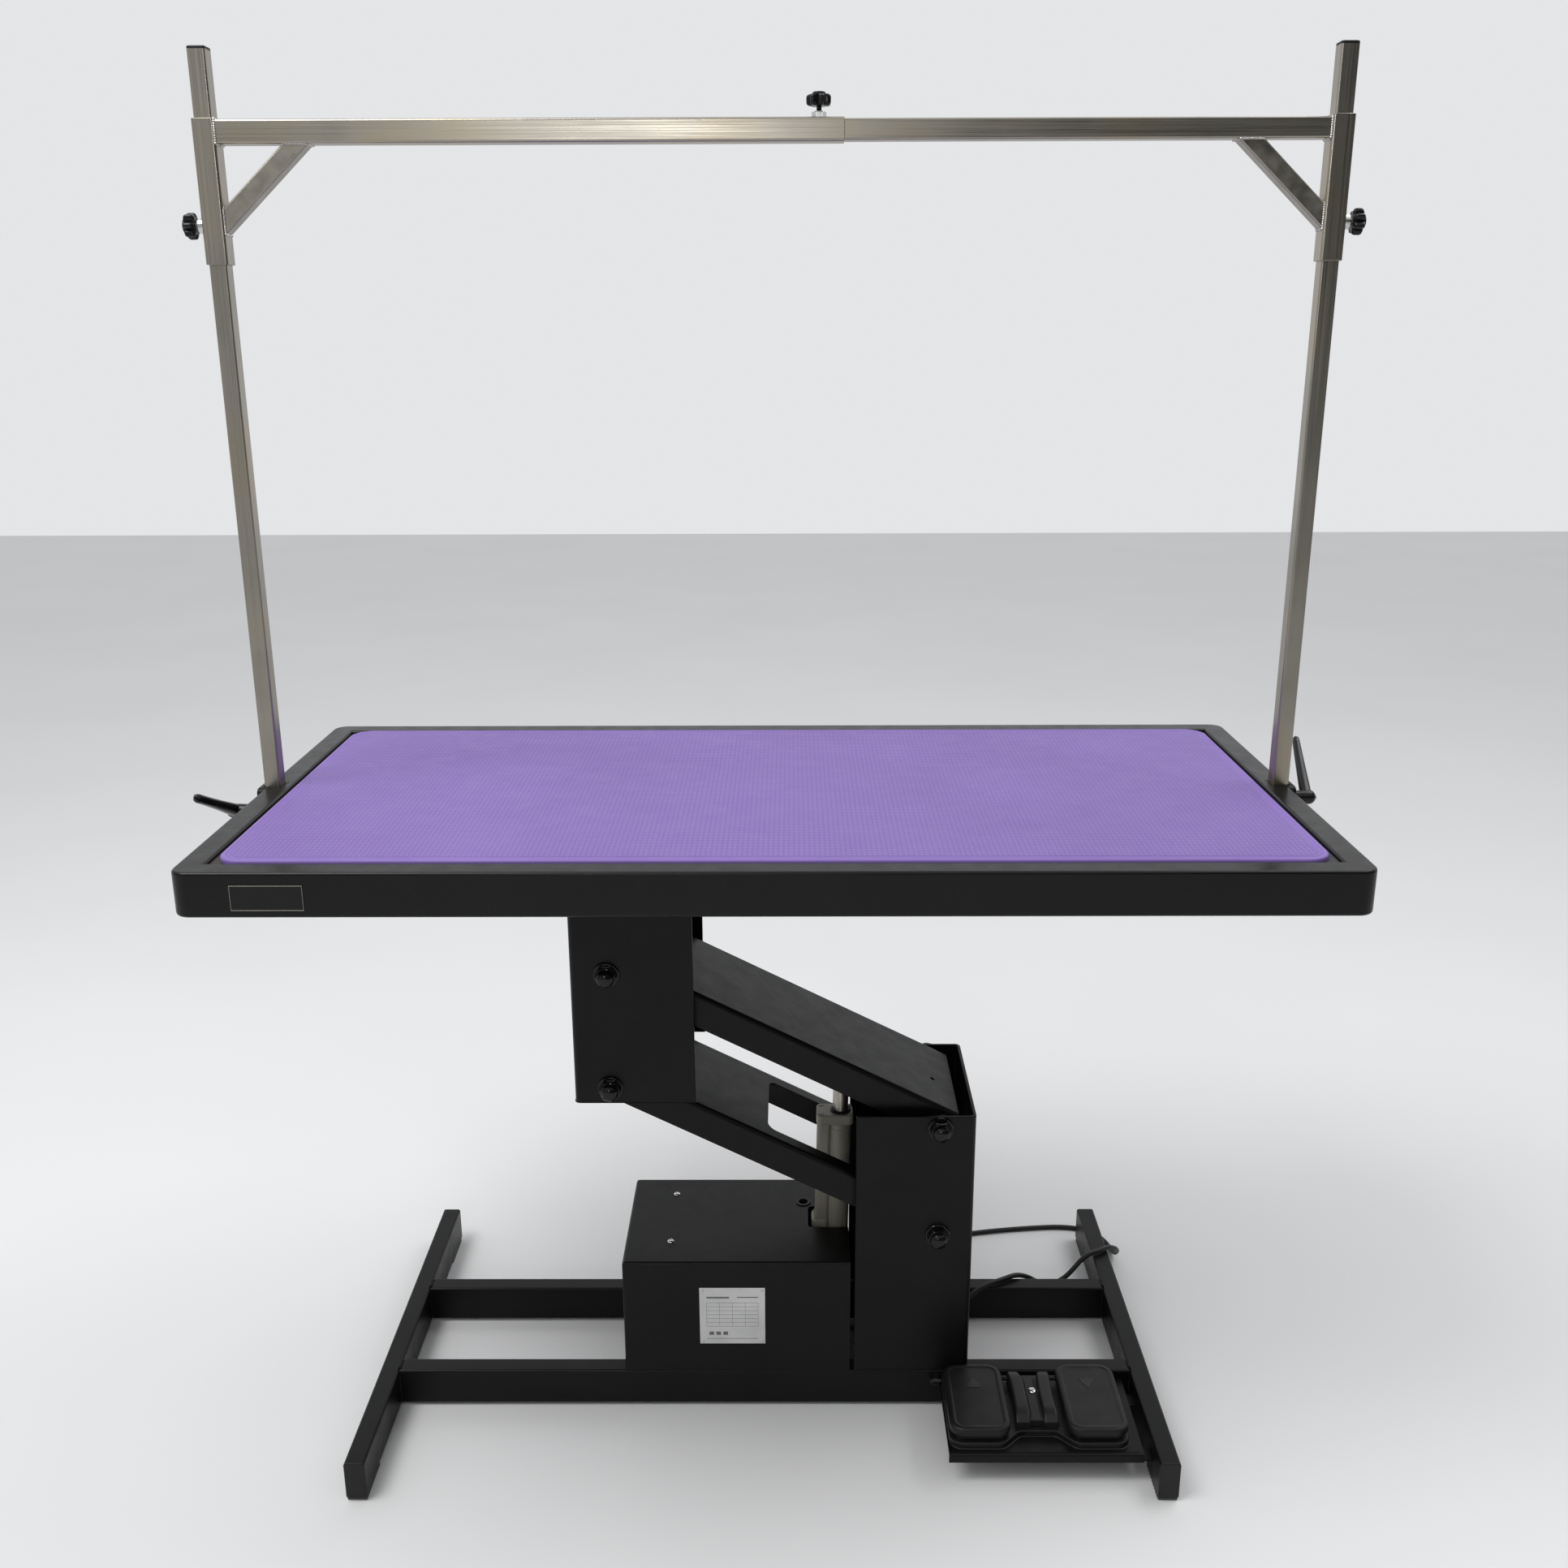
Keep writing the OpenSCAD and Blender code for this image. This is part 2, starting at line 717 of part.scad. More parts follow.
module tabletop_board() {
  color("#6b5a48")
    block([rim_w - top_l / 2, top_l / 2 - rim_w], [rim_w - top_d / 2, top_d / 2 - rim_w], [board_z, mat_z]);
}

module mat() {
  l = top_l / 2 - rim_w - 6;
  d = top_d / 2 - rim_w - 3;
  color("#8b74b8")
    tile([-l, l], [-d, d], [mat_z, mat_z + mat_t], 28);
}

module maker_plate() {
  color("#0c0c0c")
    block([-562, -485], [-top_d / 2 - 0.8, -top_d / 2], [773, 802]);
}

// ---- Posts and their sockets ---------------------------------------------

module post_socket(stud_z) {
  outer = [-post_x - socket_w / 2, -post_x + socket_w / 2];
  y = [post_y - socket_w / 2, post_y + socket_w / 2];
  face = -post_x - socket_w / 2;
  bore = post_w / 2 + 0.3;
  color("#171718")
    difference() {
      union() {
        block(outer, y, [socket_bottom, rim_z[1]]);
        block([face - 5, face], [post_y - clamp_block[0] / 2, post_y + clamp_block[0] / 2],
              [rim_z[1] - clamp_block[1], rim_z[1]]);
        block([face, -top_l / 2], [post_y - clamp_block[0] / 2, post_y + clamp_block[0] / 2],
              [rim_z[1] - clamp_block[1], rim_z[1]]);
      }
      block([-post_x - bore, -post_x + bore], [post_y - bore, post_y + bore], [socket_bottom + 4, rim_z[1] + 1]);
      along_x([face - 6, post_y, stud_z], stud_r + fit, 12);
    }
}

module post_sockets() {
  post_socket(clamp_z[0]);
  right_side() post_socket(clamp_z[1]);
}

// Clamp lever: a stud, a hub with a round end and an arm that leans outwards.
// turn is the arm's angle about the stud, from +Y up towards +Z; reach is the
// hub's length and out is how far the arm's tip lies beyond the block.
module clamp_lever(stud_z, turn, reach, arm, out) {
  face = -post_x - socket_w / 2 - 5;
  tip = -post_x - post_w / 2 - 0.4;
  color("#0f0f10") {
    translate([0, post_y, stud_z]) {
      along_x([face - reach, 0, 0], 9, reach - play);
      translate([face - reach, 0, 0]) sphere(r = 9);
      rotate([turn, 0, 0])
        hull() {
          translate([face - reach + 5, 4, 0]) sphere(r = 7.5, $fn = 24);
          translate([face - out, arm, 0]) sphere(r = 5.5, $fn = 24);
        }
    }
  }
  color("#9a9a98")
    along_x([face - play, post_y, stud_z], stud_r, tip - face + play);
}

module left_clamp_lever() { clamp_lever(clamp_z[0], 153.7, 37, 97, 45); }
module right_clamp_lever() { right_side() clamp_lever(clamp_z[1], 33.2, 20, 95, 27); }

module post(x) {
  color("#8d887b")
    tube([x - post_w / 2, x + post_w / 2], [post_y - post_w / 2, post_y + post_w / 2], [post_bottom, post_top - 3], 1.5, 2);
  color("#0f0f10") {
    tile([x - post_w / 2, x + post_w / 2], [post_y - post_w / 2, post_y + post_w / 2], [post_top - 3, post_top], 2);
    block([x - post_w / 2 + 1.5, x + post_w / 2 - 1.5], [post_y - post_w / 2 + 1.5, post_y + post_w / 2 - 1.5],
          [post_top - 15, post_top - 3]);
  }
}

module left_post() { post(-post_x); }
module right_post() { post(post_x); }

// ---- Crossbar ------------------------------------------------------------

module sleeve() {
  half = sleeve_w / 2;
  face = -post_x - half;
  color("#908b7e")
    difference() {
      union() {
        tube([-post_x - half, -post_x + half], [post_y - half, post_y + half], [sleeve_top - sleeve_l, sleeve_top], wall, 2);
        along_x([face - 7, post_y, knob_z], 8, 7);
      }
      along_x([face - 8, post_y, knob_z], stud_r + fit, 8 + wall + 1);
    }
}

module frame_sleeves() {
  sleeve();
  right_side() sleeve();
}

module crossbar_outer() {
  half = sleeve_w / 2;
  t = (sleeve_w - inner_w - 0.4) / 2;
  color("#948f82")
    difference() {
      union() {
        tube([-post_x + half, step_x], [post_y - half, post_y + half], [bar_top - sleeve_w, bar_top], t, 0);
        translate([top_knob_x, post_y, bar_top]) cylinder(r = 8, h = 6, $fn = 6);
      }
      translate([top_knob_x, post_y, bar_top - t - 1]) cylinder(r = 3 + fit, h = t + 8);
    }
}

module crossbar_inner() {
  half = inner_w / 2;
  color("#8d887b")
    tube([step_x - inner_lap, post_x - sleeve_w / 2], [post_y - half, post_y + half], [bar_z - half, bar_z + half], 1.3, 0);
}

// A square tube cut to fit between the crossbar's underside and a sleeve.
// The two corners differ in height, because the crossbar's tubes do.
module brace(under) {
  x = -post_x + sleeve_w / 2;
  cut_x = brace_w / sin(atan2(brace_drop, brace_run));
  cut_z = brace_w / cos(atan2(brace_drop, brace_run));
  t = 1.5;
  outline = [[x + brace_run - cut_x / 2, under], [x + brace_run + cut_x / 2, under],
             [x, under - brace_drop - cut_z / 2], [x, under - brace_drop + cut_z / 2]];
  k = 1 - 2 * t / brace_w;
  inner = [[x + brace_run - k * cut_x / 2, under], [x + brace_run + k * cut_x / 2, under],
           [x, under - brace_drop - k * cut_z / 2], [x, under - brace_drop + k * cut_z / 2]];
  color("#8d887b")
    translate([0, post_y, 0])
      rotate([90, 0, 0])
        difference() {
          linear_extrude(brace_w, center = true) polygon(outline);
          linear_extrude(brace_w - 2 * t, center = true) polygon(inner);
        }
}

module frame_braces() {
  brace(bar_top - sleeve_w);
  right_side() brace(bar_z - inner_w / 2);
}

// A star knob of seven lobes with its stud, along +Z from its seat
module star_knob(stem, stud, rad) {
  lobes = 7;
  color("#0f0f10") {
    translate([0, 0, stem]) {
      linear_extrude(12) {
        circle(r = rad * 0.8);
        for (i = [0:lobes - 1])
          rotate(i * 360 / lobes) translate([rad * 0.73, 0]) circle(r = rad * 0.27);
      }
      translate([0, 0, 12]) cylinder(r = rad * 0.5, h = 2.5);
    }
  }
  color("#b5b5b2")
    translate([0, 0, -stud]) cylinder(r = rad > 14.2 ? stud_r : 3, h = stud + stem);
}

module side_knob() {
  seat = -post_x - sleeve_w / 2 - 7;
  translate([seat - play, post_y, knob_z])
    rotate([0, -90, 0])
      star_knob(2, 7 + wall - 0.1, 14.5);
}

module left_knob() { side_knob(); }
module right_knob() { right_side() side_knob(); }

module top_knob() {
  translate([top_knob_x, post_y, bar_top + 6 + play])
    star_knob(5, 7.3, 14);
}

// ---- Mains cord ----------------------------------------------------------

// The gland stands on the control unit's end and tapers along the cord
module mains_gland() {
  color("#101010") {
    translate([25, 45, 80]) rotate([0, 90, 0]) cylinder(r = 9, h = 67);
    translate([92, 45, 80]) rotate([0, 90, 0]) cylinder(r1 = 7, r2 = 4.4, h = 40);
  }
}

module mains_cable() {
  color("#141414") swept(cord_route, cord_r, cord_sides);
}

module mains_coil() {
  color("#141414")
    translate([coil_at[0], coil_at[1], 0.1])
      rotate_extrude()
        translate([coil_mid - coil_w / 2, 0]) square([coil_w, coil_h]);
}

// A moulded two-pin plug lying in front of the coil
module mains_plug() {
  color("#141414") {
    along_y([160, 176, 13], 5, 32);
    tile([142, 178], [142, 176], [0, 26], 10);
  }
  color("#c9c9c6")
    for (x = [150.5, 169.5])
      along_y([x, 123, 13], 2.4, 20);
}

left_skid();
right_skid();
front_rail();
rear_rail();
skid_end_caps();
glide_pads();
deck_plate();
lift_column();
actuator_foot_bracket();
column_shafts();
column_nuts();
control_box_cover();
control_unit();
cover_screws();
cable_grommet();
rating_plate();
plate_rivets();
pedal_tray();
pedal_base();
pedal_saddle();
pedal_screw();
pedal_pins();
pedal_switches();
pedal_up_pad();
pedal_down_pad();
pedal_lead();
upper_arm();
upper_arm_bushes();
actuator_lugs();
lower_arm();
lower_arm_bushes();
actuator_rod();
actuator_barrel();
actuator_motor();
actuator_collar();
table_bracket();
bracket_shafts();
bracket_nuts();
subframe_tubes();
subframe_bolts();
tabletop_rim();
tabletop_board();
mat();
maker_plate();
post_sockets();
left_clamp_lever();
right_clamp_lever();
left_post();
right_post();
frame_sleeves();
crossbar_outer();
crossbar_inner();
frame_braces();
left_knob();
right_knob();
top_knob();
mains_gland();
mains_cable();
mains_coil();
mains_plug();
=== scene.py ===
"""Electric grooming table: the visual model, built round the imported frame."""

import json
import random
from math import atan2, copysign, cos, radians, sin, sqrt, pi as PI

import bmesh
import bpy
from mathutils import Matrix, Vector


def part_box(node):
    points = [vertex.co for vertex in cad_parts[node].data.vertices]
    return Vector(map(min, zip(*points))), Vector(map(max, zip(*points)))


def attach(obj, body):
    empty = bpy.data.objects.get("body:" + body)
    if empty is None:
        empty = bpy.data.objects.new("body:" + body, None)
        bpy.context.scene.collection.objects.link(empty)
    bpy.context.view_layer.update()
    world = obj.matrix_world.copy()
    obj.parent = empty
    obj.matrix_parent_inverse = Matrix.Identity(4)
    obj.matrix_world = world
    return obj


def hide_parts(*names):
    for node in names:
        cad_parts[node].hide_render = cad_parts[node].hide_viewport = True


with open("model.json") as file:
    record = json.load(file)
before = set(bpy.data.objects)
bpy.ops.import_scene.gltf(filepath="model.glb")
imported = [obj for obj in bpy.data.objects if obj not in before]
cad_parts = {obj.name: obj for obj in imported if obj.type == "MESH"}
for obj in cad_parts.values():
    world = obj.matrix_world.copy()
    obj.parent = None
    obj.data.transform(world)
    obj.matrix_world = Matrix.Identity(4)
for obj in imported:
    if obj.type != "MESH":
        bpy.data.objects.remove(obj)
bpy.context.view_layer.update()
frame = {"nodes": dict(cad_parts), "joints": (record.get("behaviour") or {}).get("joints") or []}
random.seed(7)

MM = 0.001


# ---- Places from the frame -------------------------------------------------


def span(node):
    """A CAD node's ranges along X, Y and Z, in millimetres."""
    lo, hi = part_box(node)
    return [(lo[i] / MM, hi[i] / MM) for i in range(3)]


def joint_at(name):
    """A hinge's point at rest, in millimetres."""
    joint = next(j for j in frame["joints"] if j["name"] == name)
    return Vector(joint["pos_m"]) / MM


def middle(pair):
    return (pair[0] + pair[1]) / 2


# ---- Camera ----------------------------------------------------------------


def add_camera():
    lens_mm, sensor_mm = 34.38, 36.0
    place = Vector((0.0192, -1.7513, 1.3406))
    pitch, yaw, roll = (radians(a) for a in (16.6, -0.3, 0.2))
    data = bpy.data.cameras.new("camera")
    data.lens = lens_mm
    data.sensor_width = sensor_mm
    data.clip_end = 50
    camera = bpy.data.objects.new("camera", data)
    bpy.context.scene.collection.objects.link(camera)
    turn = (
        Matrix.Rotation(-yaw, 4, "Z")
        @ Matrix.Rotation(PI / 2 - pitch, 4, "X")
        @ Matrix.Rotation(-roll, 4, "Z")
    )
    camera.matrix_world = Matrix.Translation(place) @ turn
    bpy.context.scene.camera = camera


add_camera()


# ---- Materials -------------------------------------------------------------


def add_node(tree, kind, **values):
    """Adds a shader node; a value is a number, a vector or another node's socket."""
    node = tree.nodes.new("ShaderNode" + kind)
    for key, value in values.items():
        socket = node.inputs[key.replace("_", " ")]
        if isinstance(value, bpy.types.NodeSocket):
            tree.links.new(value, socket)
        else:
            socket.default_value = value
    return node


class Graph:
    """A small helper that adds and links the nodes of one material."""

    def __init__(self, name):
        self.material = bpy.data.materials.new(name)
        self.material.use_nodes = True
        self.tree = self.material.node_tree
        self.shader = self.tree.nodes["Principled BSDF"]
        self.coords = add_node(self.tree, "TexCoord").outputs["Object"]

    def set(self, **values):
        for key, value in values.items():
            self.shader.inputs[key.replace("_", " ")].default_value = value

    def link(self, source, socket):
        self.tree.links.new(source, self.shader.inputs[socket])

    def noise(self, scale, detail=3.0, stretch=(1, 1, 1), roughness=0.5):
        place = add_node(self.tree, "Mapping", Scale=stretch, Vector=self.coords).outputs["Vector"]
        noise = add_node(
            self.tree, "TexNoise", Scale=scale, Detail=detail, Roughness=roughness, Vector=place
        )
        return noise.outputs["Fac"]

    def ramp(self, source, stops):
        node = add_node(self.tree, "ValToRGB", Fac=source)
        elements = node.color_ramp.elements
        while len(elements) < len(stops):
            elements.new(0.5)
        for element, (at, colour) in zip(elements, stops):
            element.position = at
            element.color = (*colour, 1)
        return node.outputs["Color"]

    def span(self, source, low, high):
        ends = {"From_Min": 0.3, "From_Max": 0.7, "To_Min": low, "To_Max": high}
        return add_node(self.tree, "MapRange", Value=source, **ends).outputs["Result"]

    def math(self, kind, first, second):
        node = add_node(self.tree, "Math")
        node.operation = kind
        for socket, value in zip(node.inputs, (first, second)):
            if isinstance(value, float):
                socket.default_value = value
            else:
                self.tree.links.new(value, socket)
        return node.outputs["Value"]

    def bump(self, height, distance, strength, under=None):
        values = {"Distance": distance, "Strength": strength, "Height": height}
        if under is not None:
            values["Normal"] = under
        return add_node(self.tree, "Bump", **values).outputs["Normal"]


def powder_coat(name, colour, roughness, gloss):
    """Powder coat: an orange-peel skin with faint dust and handling marks."""
    g = Graph(name)
    g.set(IOR=1.5, Specular_IOR_Level=gloss)
    cloud = g.noise(9, 4)
    lighter = tuple(1.35 * c + 0.001 for c in colour)
    g.link(g.ramp(cloud, [(0.35, colour), (0.75, lighter)]), "Base Color")
    wear = g.noise(42, 5, roughness=0.65)
    g.link(g.span(wear, roughness - 0.05, roughness + 0.07), "Roughness")
    peel = g.bump(g.noise(900, 2), 0.00006, 0.5)
    g.link(g.bump(g.noise(160, 2), 0.0001, 0.25, under=peel), "Normal")
    return g.material


def brushed(name, colour, axis, roughness=0.3):
    """Brushed stainless steel with its lines along one axis."""
    g = Graph(name)
    g.set(Metallic=1.0)
    stretch = [260, 260, 260]
    stretch[axis] = 1.2
    lines = g.noise(3, 4, stretch, 0.7)
    cloud = g.noise(7, 3)
    dark = tuple(0.8 * c for c in colour)
    warm = (colour[0] * 1.06, colour[1] * 0.98, colour[2] * 0.78)
    mixed = g.math("ADD", g.math("MULTIPLY", lines, 0.3), g.math("MULTIPLY", cloud, 0.7))
    g.link(g.ramp(mixed, [(0.34, dark), (0.5, colour), (0.66, warm)]), "Base Color")
    g.link(g.span(lines, roughness - 0.06, roughness + 0.1), "Roughness")
    g.link(g.bump(lines, 0.00004, 0.25), "Normal")
    return g.material


def metal(name, colour, roughness, grain=180):
    """Turned or plated metal."""
    g = Graph(name)
    g.set(Metallic=1.0)
    cloud = g.noise(grain, 4)
    dark = tuple(0.78 * c for c in colour)
    g.link(g.ramp(cloud, [(0.3, dark), (0.7, colour)]), "Base Color")
    g.link(g.span(g.noise(60, 3), roughness - 0.06, roughness + 0.1), "Roughness")
    g.link(g.bump(cloud, 0.00005, 0.4), "Normal")
    return g.material


def moulded(name, colour, roughness, grain=1400, depth=0.00008):
    """Moulded plastic or rubber with a fine spark-eroded grain."""
    g = Graph(name)
    g.set(IOR=1.48, Specular_IOR_Level=0.3)
    cloud = g.noise(14, 4)
    lighter = tuple(1.4 * c + 0.0015 for c in colour)
    g.link(g.ramp(cloud, [(0.3, colour), (0.8, lighter)]), "Base Color")
    g.link(g.span(g.noise(35, 4), roughness - 0.06, roughness + 0.08), "Roughness")
    g.link(g.bump(g.noise(grain, 2), depth, 0.5), "Normal")
    return g.material


def mat_rubber(name, field):
    """Purple foam rubber; the field has small pips across its ribs, and painted shade darkens its
    colour in the hollows between the pips.
    """
    g = Graph(name)
    g.set(IOR=1.45, Specular_IOR_Level=0.4)
    cloud = g.noise(4.5, 5)
    field_colour = g.ramp(cloud, [(0.3, (0.185, 0.117, 0.355)), (0.7, (0.21, 0.135, 0.40))])
    g.link(g.span(g.noise(30, 4), 0.5, 0.64), "Roughness")
    skin = g.bump(g.noise(1100, 2), 0.00008, 0.4)
    if field:
        waves = []
        for axis in "XY":
            wave = add_node(g.tree, "TexWave", Scale=57, Vector=g.coords)
            wave.bands_direction = axis
            waves.append(wave.outputs["Fac"])
        pips = g.math("POWER", g.math("MULTIPLY", *waves), 0.5)
        skin = g.bump(pips, 0.0007, 0.9, under=skin)
        # painted shade: the field's colour is multiplied down to 0.8 in the hollows between the pips
        painted_hollow_shade = g.ramp(pips, [(0.1, (0.80, 0.80, 0.80)), (0.55, (1, 1, 1))])
        blend = add_node(g.tree, "MixRGB", Fac=1.0, Color1=field_colour, Color2=painted_hollow_shade)
        blend.blend_type = "MULTIPLY"
        field_colour = blend.outputs["Color"]
    g.link(field_colour, "Base Color")
    g.link(skin, "Normal")
    return g.material


def foil_plate(name):
    """Thin satin foil."""
    g = Graph(name)
    g.set(Metallic=0.55)
    stops = [(0.3, (0.56, 0.56, 0.555)), (0.7, (0.66, 0.66, 0.65))]
    g.link(g.ramp(g.noise(25, 4), stops), "Base Color")
    g.link(g.span(g.noise(40, 3), 0.34, 0.46), "Roughness")
    g.link(g.bump(g.noise(5, 3, (1, 1, 90)), 0.00003, 0.3), "Normal")
    return g.material


def board_with_painted_shade(name):
    """Board coloured near-black as painted shade, so the gaps at the mat's corners look dark; it shows
    the grain a little.
    """
    g = Graph(name)
    grain = g.noise(6, 6, (0.35, 9, 9), 0.6)
    stops = [(0.3, (0.012, 0.011, 0.010)), (0.6, (0.022, 0.019, 0.016)), (0.85, (0.035, 0.03, 0.025))]
    g.link(g.ramp(grain, stops), "Base Color")
    g.set(Roughness=0.6)
    g.link(g.bump(grain, 0.0003, 0.4), "Normal")
    return g.material


def dark_print(name):
    g = Graph(name)
    stops = [(0.3, (0.10, 0.10, 0.10)), (0.7, (0.17, 0.17, 0.17))]
    g.link(g.ramp(g.noise(200, 3), stops), "Base Color")
    g.set(Roughness=0.6)
    return g.material


BLACK = powder_coat("black_coat", (0.0030, 0.0030, 0.0030), 0.36, 0.17)
RIM_BLACK = powder_coat("rim_coat", (0.0018, 0.0018, 0.0018), 0.30, 0.24)
STEEL = [brushed("stainless_" + "xyz"[a], (0.36, 0.335, 0.29), a) for a in range(3)]
STEEL_PLAIN = metal("stainless_plain", (0.38, 0.355, 0.305), 0.32, 26)
ROD = metal("ground_rod", (0.60, 0.57, 0.50), 0.34, 60)
GREY = powder_coat("actuator_coat", (0.20, 0.185, 0.15), 0.36, 0.5)
ZINC = metal("zinc", (0.66, 0.66, 0.64), 0.28)
SCREW = metal("bright_screw", (0.8, 0.8, 0.78), 0.18)
WELD = metal("weld_bead", (0.6, 0.58, 0.55), 0.24, 500)
PLATE = moulded("plate_face", (0.0015, 0.0015, 0.0016), 0.25, 600, 0.00002)
PLASTIC = moulded("black_plastic", (0.0055, 0.0055, 0.0058), 0.42)
GLOSSY = moulded("gloss_plastic", (0.0045, 0.0045, 0.0048), 0.22, 600, 0.00004)
NUT = moulded("black_nut", (0.004, 0.004, 0.0042), 0.14, 500, 0.00003)
PAD = moulded("pedal_rubber", (0.0042, 0.0042, 0.0044), 0.46, 900, 0.00012)
PAD_MARK = moulded("pedal_mark", (0.012, 0.012, 0.0123), 0.46, 900, 0.00012)
GLIDE = moulded("glide_rubber", (0.06, 0.06, 0.058), 0.7)
CORD = moulded("cord_sheath", (0.010, 0.010, 0.010), 0.42, 1500, 0.00003)
UNIT = moulded("unit_case", (0.03, 0.03, 0.031), 0.5)
MAT_EDGE = mat_rubber("mat_rubber", False)
MAT_FIELD = mat_rubber("mat_field_rubber", True)
FOIL = foil_plate("plate_foil")
PRINT = dark_print("plate_print")
# near-black board: painted shade for the dark gaps at the mat's corners
BOARD = board_with_painted_shade("board_with_painted_shade")

# Sizes that more than one piece shares, in millimetres
SHEET, SHEET_BEND = 4, 7
RIM_W, RIM_CORNER, MAT_CORNER = 30, 18, 28
LEAD_HOLE, ACTUATOR_FOOT = (205, 38), (76, 85)
SOCKET_X, POST_Y = (603, 629), (-1, 25)
BEAM_Y, BEAM_HALF, CROSS_X = (-86, 78), 15, 300


# ---- Mesh helpers, all in millimetres --------------------------------------


def arc(centre, radius, start, end, steps):
    """Points on an arc, angles in degrees."""
    points = []
    for i in range(steps + 1):
        a = radians(start + (end - start) * i / steps)
        points.append((centre[0] + radius * cos(a), centre[1] + radius * sin(a)))
    return points


def round_rect(x, y, r, steps=5):
    """A rectangle with round corners, from its ranges, anticlockwise."""
    r = max(0.05, min(r, (x[1] - x[0]) / 2 - 0.01, (y[1] - y[0]) / 2 - 0.01))
    points = []
    for cx, cy, a in (
        (x[1] - r, y[0] + r, -90),
        (x[1] - r, y[1] - r, 0),
        (x[0] + r, y[1] - r, 90),
        (x[0] + r, y[0] + r, 180),
    ):
        points += arc((cx, cy), r, a, a + 90, steps)
    return points


def inset(pair, d):
    return (pair[0] + d, pair[1] - d)


def put(point, level, axis):
    """A 2D point at a level along an axis, as a 3D point."""
    u, v = point
    return {0: (level, u, v), 1: (u, level, v), 2: (u, v, level)}[axis]


def skin_loops(bm, loops, ring=False):
    """Joins loops of 3D points, each with as many points, by quads."""
    rows = [[bm.verts.new(p) for p in loop] for loop in loops]
    count = len(rows[0])
    for a, b in zip(rows, rows[1:] + (rows[:1] if ring else [])):
        for i in range(count):
            j = (i + 1) % count
            bm.faces.new((a[i], a[j], b[j], b[i]))
    if not ring:
        bm.faces.new(rows[0])
        bm.faces.new(rows[-1])


def tiers_into(bm, u, v, rows, r, steps=5, axis=2, ring=False):
    """Round rectangles along an axis; rows give each one's inset and level."""
    loops = [
        [put(p, at, axis) for p in round_rect(inset(u, d), inset(v, d), r - d, steps)]
        for d, at in rows
    ]
    skin_loops(bm, loops, ring)
    return bm


def placed(name, data):
    """A new object of the data, in the scene."""
    piece = bpy.data.objects.new(name, data)
    bpy.context.scene.collection.objects.link(piece)
    return piece


def solid(name, bm, material, body, node=None, turn=None, sharp=32):
    """Makes an object of a mesh in millimetres, on its body, in place of its CAD node."""
    if turn is not None:
        bmesh.ops.transform(bm, matrix=turn, verts=bm.verts)
    bmesh.ops.scale(bm, vec=(MM, MM, MM), verts=bm.verts)
    bmesh.ops.recalc_face_normals(bm, faces=bm.faces)
    crease(bm, sharp)
    data = bpy.data.meshes.new(name)
    bm.to_mesh(data)
    bm.free()
    data.materials.append(material)
    piece = placed(name, data)
    even_normals(piece)
    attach(piece, body)
    node = node or name
    if node in frame["nodes"]:
        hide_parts(node)
    return piece


def crease(bm, over=32):
    """Shades the mesh smooth, but for the edges over an angle in degrees."""
    for face in bm.faces:
        face.smooth = True
    for edge in bm.edges:
        if len(edge.link_faces) == 2:
            edge.smooth = edge.calc_face_angle(0) <= radians(over)


def even_normals(piece):
    """Keeps the shading of large flat faces flat beside their round edges."""
    modifier = piece.modifiers.new("even_normals", "WEIGHTED_NORMAL")
    modifier.keep_sharp = True


def bar_into(bm, x, y, z, axis, r, wall=None, edge=0.5):
    """A tube or bar with rounded long edges and eased ends, added to bm."""
    ranges = [x, y, z]
    lo, hi = ranges.pop(axis)
    rows = [(edge, lo), (0, lo + edge), (0, hi - edge), (edge, hi)]
    if wall is not None:
        rows += [(wall, hi), (wall, lo)]
    return tiers_into(bm, *ranges, rows, r, 5, axis, ring=wall is not None)


def bar(name, x, y, z, axis, r, material, body, wall=None, edge=0.5):
    return solid(name, bar_into(bmesh.new(), x, y, z, axis, r, wall, edge), material, body)


def slab_into(bm, x, y, z, round_r, seg=3):
    """A box with every edge rounded, added to bm."""
    verts = bmesh.ops.create_cube(bm, size=1)["verts"]
    for v in verts:
        v.co = [r[0] + (c + 0.5) * (r[1] - r[0]) for r, c in zip((x, y, z), v.co)]
    edges = list({e for v in verts for e in v.link_edges})
    bmesh.ops.bevel(bm, geom=edges, offset=round_r, segments=seg, profile=0.5, affect="EDGES")
    return bm


def slab(name, x, y, z, r, material, body, seg=3):
    return solid(name, slab_into(bmesh.new(), x, y, z, r, seg), material, body)


def lathe_into(bm, profile, steps=48, turn=None, ring=False):
    """Turns (radius, height) points about Z; a radius may be a function of the angle."""
    loops = []
    for radius, height in profile:
        loop = []
        for k in range(steps):
            a = 2 * PI * k / steps
            r = radius(a) if callable(radius) else radius
            loop.append(Vector((r * cos(a), r * sin(a), height)))
        loops.append(loop if turn is None else [turn @ p for p in loop])
    skin_loops(bm, loops, ring)
    return bm


def prism_into(bm, outline, axis, level):
    """An outline extruded between two levels along an axis, added to bm."""
    skin_loops(bm, [[put(p, at, axis) for p in outline] for at in level])


def ease(bm, width, seg=2, over=50):
    """Rounds the mesh's sharp edges a little."""
    bm.normal_update()
    least = radians(over)
    edges = [e for e in bm.edges if len(e.link_faces) == 2 and e.calc_face_angle(0) > least]
    bmesh.ops.bevel(
        bm, geom=edges, offset=width, segments=seg, profile=0.5, affect="EDGES", clamp_overlap=True
    )


